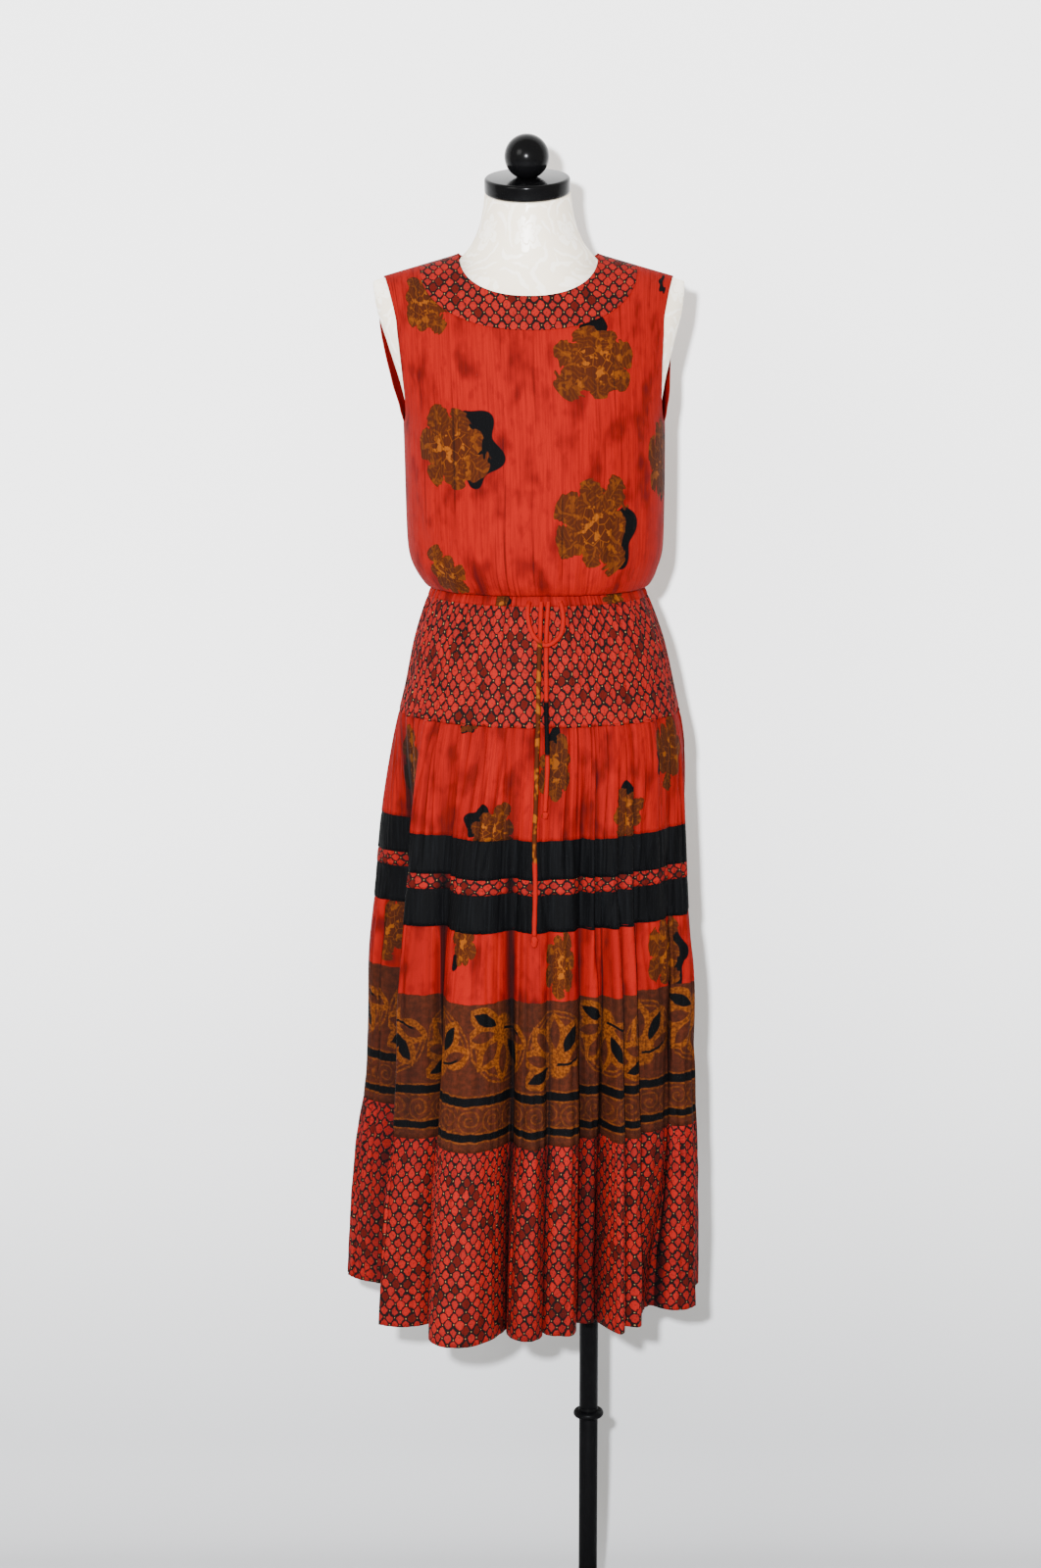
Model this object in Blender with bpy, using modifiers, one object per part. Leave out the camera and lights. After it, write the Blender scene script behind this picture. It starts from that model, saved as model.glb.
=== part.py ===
"""Sleeveless tiered midi dress with a drawstring waist, on a limbless dress form and its pole stand.

Units are metres, +Z is up and -Y is the front. The origin is under the pole, on the floor.
"""
from math import asin, ceil, cos, hypot, pi, radians, sin, sqrt, tan

import bmesh
import bpy
from mathutils import Matrix, Vector

# Cloth
wall = 0.0016            # thickness of every cloth piece
seam_gap = 0.0003        # between neighbouring pieces
hem_height = 0.460
column_step = 4.9        # degrees between columns where a fold is wide
column_slack = 0.3       # share of a step that two columns may lie wider apart
mitre_limit = 2.2        # longest mitre of the wall at a fold's corner, in walls
fold_growth = 0.85       # how soon a fold deepens below its start
least_gather = 0.25      # share of a gather's depth that stays below its fade
smooth_angle = radians(50)

# Heights where one tier of the skirt ends and the next begins
casing_top = 1.3061
yoke_top = 1.2955
floral_top = 1.1610
black_upper_top = 1.0350
pebble_strip_top = 0.9910
black_lower_top = 0.9740
border_top = 0.9310
hem_tier_top = 0.6840

# Skirt sections:    height, half width, half depth, centre x
skirt_sections = (
    (hem_height,     0.2100, 0.1820, -0.0797),
    (0.5500,         0.2075, 0.1790, -0.0775),
    (0.6315,         0.2030, 0.1730, -0.0750),
    (0.6840,         0.1974, 0.1670, -0.0719),
    (0.7700,         0.1930, 0.1600, -0.0702),
    (0.8575,         0.1911, 0.1530, -0.0698),
    (0.9370,         0.1842, 0.1455, -0.0689),
    (1.0375,         0.1775, 0.1360, -0.0664),
    (1.1300,         0.1678, 0.1240, -0.0613),
    (1.1930,         0.1542, 0.1140, -0.0600),
    (1.2400,         0.1440, 0.1080, -0.0607),
    (1.2720,         0.1340, 0.1030, -0.0616),
    (1.3080,         0.1200, 0.0965, -0.0624),
)

# Folds round the skirt, one a row, bearings in degrees from the front towards +X:
# crest bearing, crest out, next dip's bearing, dip out, height where it starts, height of full depth
skirt_folds = (
    (-102.0, 0.008, -84.0, -0.044, 1.16, 0.96),
    (-52.0,  0.014, -34.5, -0.028, 1.13, 0.52),
    (-18.0,  0.034,  -5.0, -0.020, 1.14, 0.48),
    (1.5,    0.006,   7.0, -0.010, 1.10, 0.50),
    (12.5,  -0.012,  19.0, -0.038, 1.14, 0.52),
    (24.0,  -0.031,  28.5, -0.040, 1.00, 0.52),
    (33.0,   0.006,  36.5, -0.014, 1.14, 0.50),
    (39.5,  -0.003,  44.0, -0.026, 1.08, 0.55),
    (55.0,  -0.008,  63.0, -0.015, 1.12, 0.70),
    (72.0,   0.008,  84.0, -0.022, 1.12, 0.80),
    (95.0,   0.002, 106.0, -0.022, 1.10, 0.60),
    (118.0,  0.010, 130.0, -0.026, 1.13, 0.50),
    (142.0,  0.016, 153.0, -0.022, 1.10, 0.50),
    (164.0,  0.018, 175.0, -0.026, 1.14, 0.48),
    (187.0,  0.020, 198.0, -0.022, 1.12, 0.50),
    (209.0,  0.012, 221.0, -0.026, 1.14, 0.55),
    (232.0,  0.012, 246.0, -0.020, 1.10, 0.60),
)

# Fine gathers: height of the line they hang from, their depth there, length over which they fade
gather_lines = (
    (casing_top, 0.0011, 0.060),
    (floral_top, 0.0011, 0.070),
    (border_top, 0.0010, 0.080),
)

# Bodice from the waist to the underarm, bloused over the casing:
# height, half width, front depth, back depth
bodice_sections = (
    (1.3070, 0.1195, 0.0960, 0.0955),
    (1.3066, 0.1232, 0.1000, 0.0990),
    (1.3050, 0.1264, 0.1040, 0.1025),
    (1.3110, 0.1306, 0.1090, 0.1055),
    (1.3250, 0.1375, 0.1155, 0.1085),
    (1.3480, 0.1447, 0.1203, 0.1090),
    (1.3950, 0.1468, 0.1237, 0.1050),
    (1.4920, 0.1480, 0.1230, 0.0985),
)
underarm = bodice_sections[-1][0]

# Body above the underarm: height, half width, front depth, back depth
body_sections = (
    (1.4400, 0.1475, 0.1245, 0.1010),
    (underarm, 0.1480, 0.1230, 0.0985),
    (1.5100, 0.1530, 0.1212, 0.0980),
    (1.5360, 0.1590, 0.1180, 0.0970),
    (1.5670, 0.1670, 0.1115, 0.0950),
    (1.6000, 0.1730, 0.1015, 0.0910),
    (1.6400, 0.1790, 0.0850, 0.0810),
    (1.6600, 0.1790, 0.0790, 0.0740),
    (1.7000, 0.1790, 0.0720, 0.0620),
)

# Armhole edge: height, half width of the front panel, of the back panel at -X and at +X
armhole = (
    (underarm, 0.1480, 0.1480, 0.1480),
    (1.5000, 0.1445, 0.1502, 0.1500),
    (1.5200, 0.1432, 0.1550, 0.1540),
    (1.5670, 0.1455, 0.1650, 0.1590),
    (1.6120, 0.1492, 0.1690, 0.1645),
    (1.6400, 0.1560, 0.1660, 0.1640),
    (1.6600, 0.1620, 0.1620, 0.1620),
    (1.7000, 0.1620, 0.1620, 0.1620),
)

# Centre line of the body: height, centre x
centre_line = (
    (1.0600, -0.0620), (1.3080, -0.0624), (1.3330, -0.0645), (1.4920, -0.0665),
    (1.5600, -0.0695), (1.6500, -0.0727), (1.7650, -0.0743),
)

section_power = 2.3      # roundness of the body's sections
dome_start = 1.560       # where the chest and back begin to turn in to the shoulder seam
shoulder_slope = 0.29
neck_half = 0.078        # neckline's half width on the shoulder seam
neck_height = 1.680      # height of the shoulder seam at the neckline
band_half = 0.1215       # the neck band's outer half width
neck_rise = 0.100        # how far the neck carries the surface up inside the neckline
neck_rise_half = 0.085
neckline_power = 2.2
front_neck_drop = 0.0415
front_band_drop = 0.065
back_neck_drop = 0.010
back_band_drop = 0.036

neck_turns = (0, 10, 20, 31, 43, 56, 68, 80)   # degrees round the neck band, to its shoulder seam at 90
shoulder_columns = 5
upper_row_shares = (0.05, 0.14, 0.31, 0.52, 0.72, 0.88, 0.97, 1.0)   # of the way up to the shoulder
band_rows = 2

# Tie
tie_radius = 0.0025
tie_point_spacing = 0.014
knot_flatness = 0.8
long_knot = (0.0040, 0.014)     # radius, height
short_knot = (0.0038, 0.009)
tie_loop_route = (
    (-0.0722, -0.1012, 1.3010), (-0.0738, -0.1070, 1.2960), (-0.0735, -0.1110, 1.2830),
    (-0.0690, -0.1140, 1.2680), (-0.0600, -0.1158, 1.2575), (-0.0525, -0.1158, 1.2550),
    (-0.0440, -0.1145, 1.2590), (-0.0365, -0.1105, 1.2680), (-0.0345, -0.1065, 1.2830),
    (-0.0360, -0.1030, 1.2955), (-0.0380, -0.0992, 1.3010),
)
tie_long_route = (
    (-0.0590, -0.1024, 1.3010), (-0.0592, -0.1045, 1.2950), (-0.0600, -0.1074, 1.2700),
    (-0.0615, -0.1140, 1.2250), (-0.0625, -0.1215, 1.1700), (-0.0640, -0.1292, 1.1200),
    (-0.0650, -0.1354, 1.0750), (-0.0665, -0.1408, 1.0350), (-0.0655, -0.1470, 0.9850),
    (-0.0665, -0.1517, 0.9400), (-0.0665, -0.1530, 0.9310),
)
tie_short_route = (
    (-0.0510, -0.1014, 1.3010), (-0.0515, -0.1038, 1.2950), (-0.0530, -0.1072, 1.2700),
    (-0.0535, -0.1135, 1.2250), (-0.0530, -0.1212, 1.1700), (-0.0520, -0.1290, 1.1200),
    (-0.0540, -0.1344, 1.0800), (-0.0545, -0.1358, 1.0700),
)

# Dress form and stand
torso_bottom = 1.060
form_inset = 0.0045      # from the cloth's outside to the form, over the chest and back
tip_inset = 0.0022       # the same on the shoulder seams towards their tips, where the dress rests
band_inset = 0.0100      # the same on the shoulder seams under the neck band
tip_rest_half = 0.145    # the dress rests from here outwards
shoulder_thinning = 0.30   # how much thinner the form is than the cloth's surface at the top of its shoulders
neck_top = 1.747
neck_forward_tilt = radians(11.0)
neck_side_tilt = radians(1.0)
neck_centre = (-0.0743, -0.0100)
# Lower torso: height, half width, front depth, back depth
torso_sections = (
    (torso_bottom, 0.1460, 0.1000, 0.0980),
    (1.0750, 0.1500, 0.1040, 0.1010),
    (1.1300, 0.1490, 0.1050, 0.1020),
    (1.1900, 0.1390, 0.1000, 0.0980),
    (1.2500, 0.1220, 0.0900, 0.0880),
    (1.2950, 0.1120, 0.0850, 0.0820),
    (1.3300, 0.1170, 0.0920, 0.0840),
    (1.3900, 0.1320, 0.1080, 0.0920),
    (1.4500, 0.1420, 0.1170, 0.0950),
)
# Neck: height, half width, front depth, back depth
neck_sections = (
    (1.6830, 0.0690, 0.0610, 0.0520),
    (1.6930, 0.0620, 0.0602, 0.0480),
    (1.7080, 0.0555, 0.0593, 0.0440),
    (1.7250, 0.0510, 0.0584, 0.0400),
    (neck_top, 0.0478, 0.0578, 0.0378),
)
form_columns = 28
upper_form_levels = (1.492, 1.525, 1.560, 1.590, 1.615, 1.634, 1.646, 1.653, 1.660, 1.667, 1.673)

cap_radius = 0.0480
cap_thick = 0.0180
cap_edge = 0.003
ball_radius = 0.0250
ball_seat = 0.0225       # from the ball's centre down to its flat
pole_radius = 0.01125
pole_split = 0.3050
ring_height = 0.2970
ring_radius = 0.0182
ring_half = 0.0045
base_radius = 0.170
base_thick = 0.012
base_edge = 0.003


def between(table, height, column):
    """Reads one column of a table at a height, along a smooth curve through its rows."""
    if height <= table[0][0]:
        return table[0][column]
    if height >= table[-1][0]:
        return table[-1][column]
    index = max(i for i in range(len(table) - 1) if table[i][0] <= height)

    def slope(i):
        before, after = max(i - 1, 0), min(i + 1, len(table) - 1)
        return (table[after][column] - table[before][column]) / (table[after][0] - table[before][0])

    low, high = table[index], table[index + 1]
    step = high[0] - low[0]
    t = (height - low[0]) / step
    return ((2 * t**3 - 3 * t**2 + 1) * low[column] + (t**3 - 2 * t**2 + t) * step * slope(index)
            + (3 * t**2 - 2 * t**3) * high[column] + (t**3 - t**2) * step * slope(index + 1))


def fold_turns():
    """The skirt's crests and dips in order round it, as bearing, depth, start and full heights."""
    turns = []
    for crest, crest_out, dip, dip_out, start, full in skirt_folds:
        turns.append((crest, crest_out, start, full))
        turns.append((dip, dip_out, start, full))
    first = turns[0]
    return turns + [(first[0] + 360, *first[1:])]


def turn_depth(turn, height):
    """How far one crest or dip stands out at a height."""
    bearing, out, start, full = turn
    grown = min(max((start - height) / (start - full), 0.0), 1.0)
    return out * grown**fold_growth


def fold_depth(bearing, height):
    """The skirt's offset from its plain section at a bearing, in smooth waves between turns."""
    turns = fold_turns()
    place = (bearing - turns[0][0]) % 360 + turns[0][0]
    for left, right in zip(turns, turns[1:]):
        if place <= right[0]:
            t = (place - left[0]) / (right[0] - left[0])
            blend = (1 - cos(pi * t)) / 2
            return turn_depth(left, height) * (1 - blend) + turn_depth(right, height) * blend


def skirt_bearings():
    """Columns round the skirt: both side seams, every crest and dip, and steps between them."""
    turns = {turn[0] + (360 if turn[0] < -90 else 0) for turn in fold_turns()}
    stops = sorted({stop for stop in turns if stop < 270} | {-90.0, 90.0, 270.0})
    bearings = []
    for left, right in zip(stops, stops[1:]):
        steps = max(1, ceil((right - left) / column_step - column_slack))
        bearings += [left + (right - left) * i / steps for i in range(steps)]
    return bearings


def gather_depth(height):
    """Depth of the fine gathers at a height."""
    depth = 0.0
    for line, amount, fade in gather_lines:
        if height <= line:
            depth = amount * max(least_gather, 1 - (line - height) / fade)
    return depth


def skirt_ring(height, bearings):
    """Outer and inner points of the skirt's wall at one height, all the way round."""
    half_width = between(skirt_sections, height, 1)
    half_depth = between(skirt_sections, height, 2)
    centre = between(skirt_sections, height, 3)
    gather = gather_depth(height)
    outer = []
    for number, bearing in enumerate(bearings):
        angle = radians(bearing)
        out = fold_depth(bearing, height) + (gather if number % 2 else -gather)
        reach = hypot(sin(angle) * half_width, cos(angle) * half_depth)
        scale = (reach + out) / reach
        x, y = sin(angle) * half_width * scale, -cos(angle) * half_depth * scale
        outer.append(Vector((centre + x, y, height)))
    return outer, offset_inwards(outer)


def offset_inwards(ring):
    """A closed level ring moved inwards by the wall, with mitred corners."""
    inner = []
    for number, point in enumerate(ring):
        before = (point - ring[number - 1]).normalized()
        after = (ring[(number + 1) % len(ring)] - point).normalized()
        normal = Vector((before.y + after.y, -before.x - after.x, 0)).normalized()
        opening = normal.dot(Vector((after.y, -after.x, 0)))
        inner.append(point - normal * wall * min(1 / max(opening, 0.1), mitre_limit))
    return inner


def new_object(name, mesh, material, collection):
    thing = bpy.data.objects.new(name, mesh)
    thing.data.materials.append(material)
    collection.objects.link(thing)
    return thing


def loft_wall(name, outer, inner, material, collection):
    """A closed wall between an outer and an inner grid of points with rows of equal length."""
    shape = bmesh.new()
    sides = [[[shape.verts.new(point) for point in row] for row in grid] for grid in (outer, inner)]
    rows, columns = len(outer), len(outer[0])
    for row in range(rows - 1):
        for column in range(columns - 1):
            for grid in sides:
                shape.faces.new((grid[row][column], grid[row][column + 1],
                                 grid[row + 1][column + 1], grid[row + 1][column]))
    out_side, in_side = sides
    for row in (0, rows - 1):
        for column in range(columns - 1):
            shape.faces.new((out_side[row][column], out_side[row][column + 1],
                             in_side[row][column + 1], in_side[row][column]))
    for column in (0, columns - 1):
        for row in range(rows - 1):
            shape.faces.new((out_side[row][column], out_side[row + 1][column],
                             in_side[row + 1][column], in_side[row][column]))
    return finish_mesh(name, shape, material, collection)


def finish_mesh(name, shape, material, collection):
    bmesh.ops.recalc_face_normals(shape, faces=shape.faces)
    mesh = bpy.data.meshes.new(name)
    shape.to_mesh(mesh)
    shape.free()
    mesh.shade_smooth()
    mesh.set_sharp_from_angle(angle=smooth_angle)
    return new_object(name, mesh, material, collection)


def skirt_tier(name, top, bottom, rows, material, collection):
    """One tier of the skirt, cut as a front and a back that meet at the side seams."""
    bearings = skirt_bearings()
    top_edge = top - seam_gap / 2
    bottom_edge = bottom + seam_gap / 2 if bottom > hem_height else bottom
    heights = [top_edge + (bottom_edge - top_edge) * row / rows for row in range(rows + 1)]
    rings = [skirt_ring(height, bearings) for height in heights]
    right_seam = bearings.index(90.0)
    parts = {"front": list(range(0, right_seam + 1)), "back": list(range(right_seam, len(bearings))) + [0]}
    for side, columns in parts.items():
        apart = Vector((0, -seam_gap / 2 if side == "front" else seam_gap / 2, 0))
        grids = []
        for layer in (0, 1):
            grid = []
            for ring in rings:
                row = [ring[layer][column].copy() for column in columns]
                row[0].y = apart.y
                row[-1].y = apart.y
                grid.append(row)
            grids.append(grid)
        loft_wall(f"{name}_{side}", grids[0], grids[1], material, collection)


def shoulder_height(across):
    """Height of the surface's ridge at a distance from the centre line."""
    height = neck_height - shoulder_slope * (abs(across) - neck_half)
    if abs(across) < neck_rise_half:
        height += neck_rise * (1 - (across / neck_rise_half) ** 2) ** 2
    return height


def under_band(across):
    """0 towards the shoulder tips and 1 under the neck band."""
    return min(max((tip_rest_half - abs(across)) / (tip_rest_half - band_half), 0.0), 1.0)


def ridge_inset(across):
    """How far the form's shoulder ridge lies below the cloth's."""
    return tip_inset + (band_inset - tip_inset) * under_band(across)


def body_depth(across, height, side, inset=0.0):
    """Distance of the body's surface from the mid plane, turned in over the shoulders."""
    half = between(body_sections, height, 1) - inset
    depth = between(body_sections, height, 2 if side == "front" else 3) - inset
    inside = max(0.0, 1 - abs(across / half) ** section_power)
    turned = 1.0
    if height > dome_start:
        top = shoulder_height(across) - (ridge_inset(across) if inset else 0.0)
        rise = min(1.0, (height - dome_start) / (top - dome_start))
        turned = sqrt(1 - rise**2)
        turned *= 1 - shoulder_thinning * (1 + under_band(across)) * rise**4 if inset else 1.0
    return depth * inside ** (1 / section_power) * turned


def body_point(across, height, side):
    facing = -1 if side == "front" else 1
    depth = body_depth(across, height, side)
    return Vector((between(centre_line, height, 1) + across, facing * depth, height))


def body_normal(across, height, side):
    """Outward direction of the body's surface above the underarm."""
    step = 0.0004
    low = height - step
    if shoulder_height(across) - height < 2 * step:
        return Vector((0, 0, 1))
    toward = across - step if across > 0 else across + step
    here = body_point(across, height, side)
    along = (here - body_point(toward, height, side)) * (1 if across > 0 else -1)
    up = here - body_point(across, low, side)
    normal = along.cross(up).normalized()
    return normal if side == "front" else -normal


def neck_curve(turn, share, side):
    """A point between the neckline (share 0) and the neck band's outer edge (share 1)."""
    neck_drop, band_drop = ((front_neck_drop, front_band_drop) if side == "front"
                            else (back_neck_drop, back_band_drop))
    half = neck_half + (band_half - neck_half) * share
    drop = neck_drop + (band_drop - neck_drop) * share
    across = half * abs(sin(turn)) ** (2 / neckline_power) * (1 if turn > 0 else -1)
    fall = drop * max(0.0, cos(turn)) ** (2 / neckline_power)
    return across, neck_height - shoulder_slope * (half - neck_half) - fall


def panel_half(height, side, share):
    """Half width of a bodice panel at a height; the back's two armholes differ."""
    back_column = 2 if share < 0 else 3
    return between(armhole, height, 1 if side == "front" else back_column)


def shoulder_top(share, side):
    """Height at which a column beside the neck band meets the shoulder seam."""
    height = neck_height
    for _ in range(40):
        height = shoulder_height(share * panel_half(height, side, share))
    return height


def bodice_columns(side):
    """Columns across a bodice panel: share of its half width, and the height where it ends."""
    halves = []
    for facing in (-1, 1):
        half = []
        for degrees_round in neck_turns:
            across, height = neck_curve(radians(degrees_round), 1.0, side)
            half.append((facing * across / panel_half(height, side, facing), height))
        corner = asin(band_half / panel_half(shoulder_height(band_half), side, facing))
        for number in range(shoulder_columns + 1):
            share = facing * sin(corner + (pi / 2 - corner) * number / shoulder_columns)
            half.append((share, shoulder_top(share, side)))
        halves.append(half)
    return halves[0][:0:-1] + halves[1]


def bodice_panel(side, material, collection):
    facing = -1 if side == "front" else 1
    columns = bodice_columns(side)
    shares = [share for share, top in columns]
    depth_column = 2 if side == "front" else 3
    outer, inner = [], []

    def low_point(row, share):
        height, half = bodice_sections[row][0], bodice_sections[row][1]
        reach = max(0.0, 1 - abs(share) ** section_power) ** (1 / section_power)
        return Vector((between(centre_line, height, 1) + share * half,
                       facing * bodice_sections[row][depth_column] * reach, height))

    last = len(bodice_sections) - 1
    for row in range(len(bodice_sections)):
        points = [low_point(row, share) for share in shares]
        below = [low_point(max(row - 1, 0), share) for share in shares]
        above = [low_point(min(row + 1, last), share) for share in shares]
        inner_row = []
        for number, point in enumerate(points):
            left, right = points[max(number - 1, 0)], points[min(number + 1, len(points) - 1)]
            rise = above[number] - below[number]
            if number == 0:
                normal = Vector((-rise.z, 0, rise.x)).normalized()
            elif number == len(points) - 1:
                normal = Vector((rise.z, 0, -rise.x)).normalized()
            else:
                normal = (right - left).cross(rise).normalized() * -facing
            inner_row.append(point - normal * wall)
        outer.append(points)
        inner.append(inner_row)
    for part in upper_row_shares:
        points, inner_row = [], []
        for share, top in columns:
            height = underarm + (top - underarm) * part
            across = share * panel_half(height, side, share)
            points.append(body_point(across, height, side))
            inner_row.append(points[-1] - body_normal(across, height, side) * wall)
        outer.append(points)
        inner.append(inner_row)
    for grid in (outer, inner):
        for row_points in grid:
            for point in row_points:
                if abs(point.y) < seam_gap:
                    point.y = facing * seam_gap / 2
    loft_wall(f"bodice_{side}", outer, inner, material, collection)


def neck_band(side, material, collection):
    facing = -1 if side == "front" else 1
    half_round = [radians(turn) for turn in (*neck_turns, 90)]
    turns = [-turn for turn in half_round[:0:-1]] + half_round
    last_share = 1 - seam_gap / (band_half - neck_half)
    outer, inner = [], []
    for row in range(band_rows + 1):
        share = last_share * row / band_rows
        points, inner_row = [], []
        for turn in turns:
            across, height = neck_curve(turn, share, side)
            points.append(body_point(across, height, side))
            inner_row.append(points[-1] - body_normal(across, height, side) * wall)
        for point in (points[0], points[-1], inner_row[0], inner_row[-1]):
            point.y = facing * seam_gap / 2
        outer.append(points)
        inner.append(inner_row)
    loft_wall(f"neck_band_{side}", outer, inner, material, collection)


def smooth_route(route, spacing):
    """Points along a smooth curve through a route, about one spacing apart."""
    points = [Vector(point) for point in route]
    fine = []
    steps = 12
    for number in range(len(points) - 1):
        p0 = points[max(number - 1, 0)]
        p1, p2 = points[number], points[number + 1]
        p3 = points[min(number + 2, len(points) - 1)]
        for step in range(steps):
            t = step / steps
            fine.append(0.5 * (2 * p1 + (p2 - p0) * t + (2 * p0 - 5 * p1 + 4 * p2 - p3) * t**2
                               + (3 * p1 - p0 - 3 * p2 + p3) * t**3))
    fine.append(points[-1])
    total = sum((b - a).length for a, b in zip(fine, fine[1:]))
    count = max(3, round(total / spacing))
    kept, walked, index = [fine[0]], 0.0, 1
    for a, b in zip(fine, fine[1:]):
        walked += (b - a).length
        if walked >= total * index / count - 1e-9 and index < count:
            kept.append(b)
            index += 1
    return kept + [fine[-1]]


def cord(name, route, material, collection):
    points = smooth_route(route, tie_point_spacing)
    data = bpy.data.curves.new(name, "CURVE")
    data.dimensions = "3D"
    data.bevel_depth = tie_radius
    data.bevel_resolution = 2
    data.use_fill_caps = True
    spline = data.splines.new("POLY")
    spline.points.add(len(points) - 1)
    for place, point in zip(spline.points, points):
        place.co = (*point, 1)
    return new_object(name, data, material, collection)


def knot(name, place, size, material, collection):
    """A small knot as a long ball below a tie's end."""
    radius, tall = size
    shape = bmesh.new()
    bmesh.ops.create_uvsphere(shape, u_segments=10, v_segments=7, radius=radius)
    bmesh.ops.scale(shape, vec=(1, knot_flatness, tall / (2 * radius)), verts=shape.verts)
    low = place[2] - seam_gap - tall / 2
    bmesh.ops.translate(shape, vec=(place[0], place[1], low), verts=shape.verts)
    return finish_mesh(name, shape, material, collection)


def form_ring(height, half, front, back):
    """A level ring of the form from its half width and its two depths."""
    points = []
    centre = between(centre_line, height, 1)
    for number in range(form_columns):
        angle = 2 * pi * number / form_columns
        depth = front if cos(angle) > 0 else back
        points.append(Vector((centre + half * sin(angle), -depth * cos(angle), height)))
    return points


def upper_form_ring(height):
    """A ring of the form inside the bodice, following the same surface as the cloth."""
    half = between(body_sections, height, 1) - form_inset
    low, high = neck_half, half
    for _ in range(30):
        across = (low + high) / 2
        if shoulder_height(across) - ridge_inset(across) > height:
            low = across
        else:
            high = across
    half = min(half, low)
    centre = between(centre_line, height, 1)
    points = []
    for number in range(form_columns):
        angle = 2 * pi * number / form_columns
        side = "front" if cos(angle) > 0 else "back"
        across = half * sin(angle)
        depth = body_depth(across, height, side, form_inset)
        points.append(Vector((centre + across, -depth if side == "front" else depth, height)))
    return points


def neck_plane(x, y):
    """Height of the sloping neck top above its centre."""
    return (y - neck_centre[1]) * tan(neck_forward_tilt) + (x - neck_centre[0]) * tan(neck_side_tilt)


def form_torso(material, collection):
    rings = [form_ring(*row) for row in torso_sections]
    rings += [upper_form_ring(height) for height in upper_form_levels]
    rings += [form_ring(*row) for row in neck_sections]
    for point in rings[-1]:
        point.z += neck_plane(point.x, point.y)
    shape = bmesh.new()
    loops = [[shape.verts.new(point) for point in ring] for ring in rings]
    for lower, upper in zip(loops, loops[1:]):
        for number in range(form_columns):
            after = (number + 1) % form_columns
            shape.faces.new((lower[number], lower[after], upper[after], upper[number]))
    shape.faces.new(loops[0])
    shape.faces.new(loops[-1])
    return finish_mesh("form_torso", shape, material, collection)


def on_neck(shape, lift):
    """Moves a shape that is centred on its own Z axis onto the sloping neck top."""
    bmesh.ops.rotate(shape, cent=(0, 0, 0), verts=shape.verts, matrix=neck_turn())
    place = Vector((*neck_centre, neck_top)) + neck_turn() @ Vector((0, 0, lift))
    bmesh.ops.translate(shape, vec=place, verts=shape.verts)


def neck_turn():
    return Matrix.Rotation(neck_forward_tilt, 3, "X") @ Matrix.Rotation(-neck_side_tilt, 3, "Y")


def neck_cap(material, collection):
    shape = bmesh.new()
    bmesh.ops.create_cone(shape, cap_ends=True, segments=32, radius1=cap_radius, radius2=cap_radius,
                          depth=cap_thick)
    rims = [edge for edge in shape.edges if abs(edge.verts[0].co.z - edge.verts[1].co.z) < 1e-6]
    bmesh.ops.bevel(shape, geom=rims, offset=cap_edge, segments=1, profile=0.5, affect="EDGES")
    on_neck(shape, cap_thick / 2 + 2 * seam_gap)
    return finish_mesh("neck_cap", shape, material, collection)


def cap_ball(material, collection):
    shape = bmesh.new()
    bmesh.ops.create_uvsphere(shape, u_segments=18, v_segments=12, radius=ball_radius)
    bmesh.ops.bisect_plane(shape, geom=shape.verts[:] + shape.edges[:] + shape.faces[:],
                           plane_co=(0, 0, -ball_seat), plane_no=(0, 0, -1), clear_outer=True)
    open_edges = [edge for edge in shape.edges if edge.is_boundary]
    bmesh.ops.contextual_create(shape, geom=open_edges)
    on_neck(shape, cap_thick + 3 * seam_gap + ball_seat)
    return finish_mesh("cap_ball", shape, material, collection)


def round_bar(name, radius, low, high, material, collection, edge=0.0):
    shape = bmesh.new()
    bmesh.ops.create_cone(shape, cap_ends=True, segments=32, radius1=radius, radius2=radius, depth=high - low)
    if edge:
        rims = [e for e in shape.edges if e.verts[0].co.z > 0 and e.verts[1].co.z > 0]
        bmesh.ops.bevel(shape, geom=rims, offset=edge, segments=2, profile=0.5, affect="EDGES")
    bmesh.ops.translate(shape, vec=(0, 0, (low + high) / 2), verts=shape.verts)
    return finish_mesh(name, shape, material, collection)


def pole_ring(material, collection):
    """The collar where the two pole lengths screw together, a turned ring round the pole."""
    inside = pole_radius + seam_gap
    curve = [(inside, ring_half)]
    steps = 4
    for step in range(steps + 1):
        angle = pi / 2 - pi * step / steps
        curve.append((ring_radius - ring_half + ring_half * cos(angle), ring_half * sin(angle)))
    curve.append((inside, -ring_half))
    data = bpy.data.meshes.new("pole_ring")
    points = [(x, 0, ring_height + z) for x, z in curve]
    data.from_pydata(points + [points[0]], [(i, i + 1) for i in range(len(points))], [])
    thing = new_object("pole_ring", data, material, collection)
    screw = thing.modifiers.new("turned", "SCREW")
    screw.angle = 2 * pi
    screw.steps = 24
    screw.render_steps = 24
    screw.use_merge_vertices = True
    screw.merge_threshold = 0.0001
    return thing


def finish_material(name, colour, roughness, metallic=0.0):
    material = bpy.data.materials.new(name)
    material.use_nodes = True
    shader = material.node_tree.nodes["Principled BSDF"]
    shader.inputs["Base Color"].default_value = (*colour, 1)
    shader.inputs["Roughness"].default_value = roughness
    shader.inputs["Metallic"].default_value = metallic
    return material


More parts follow.
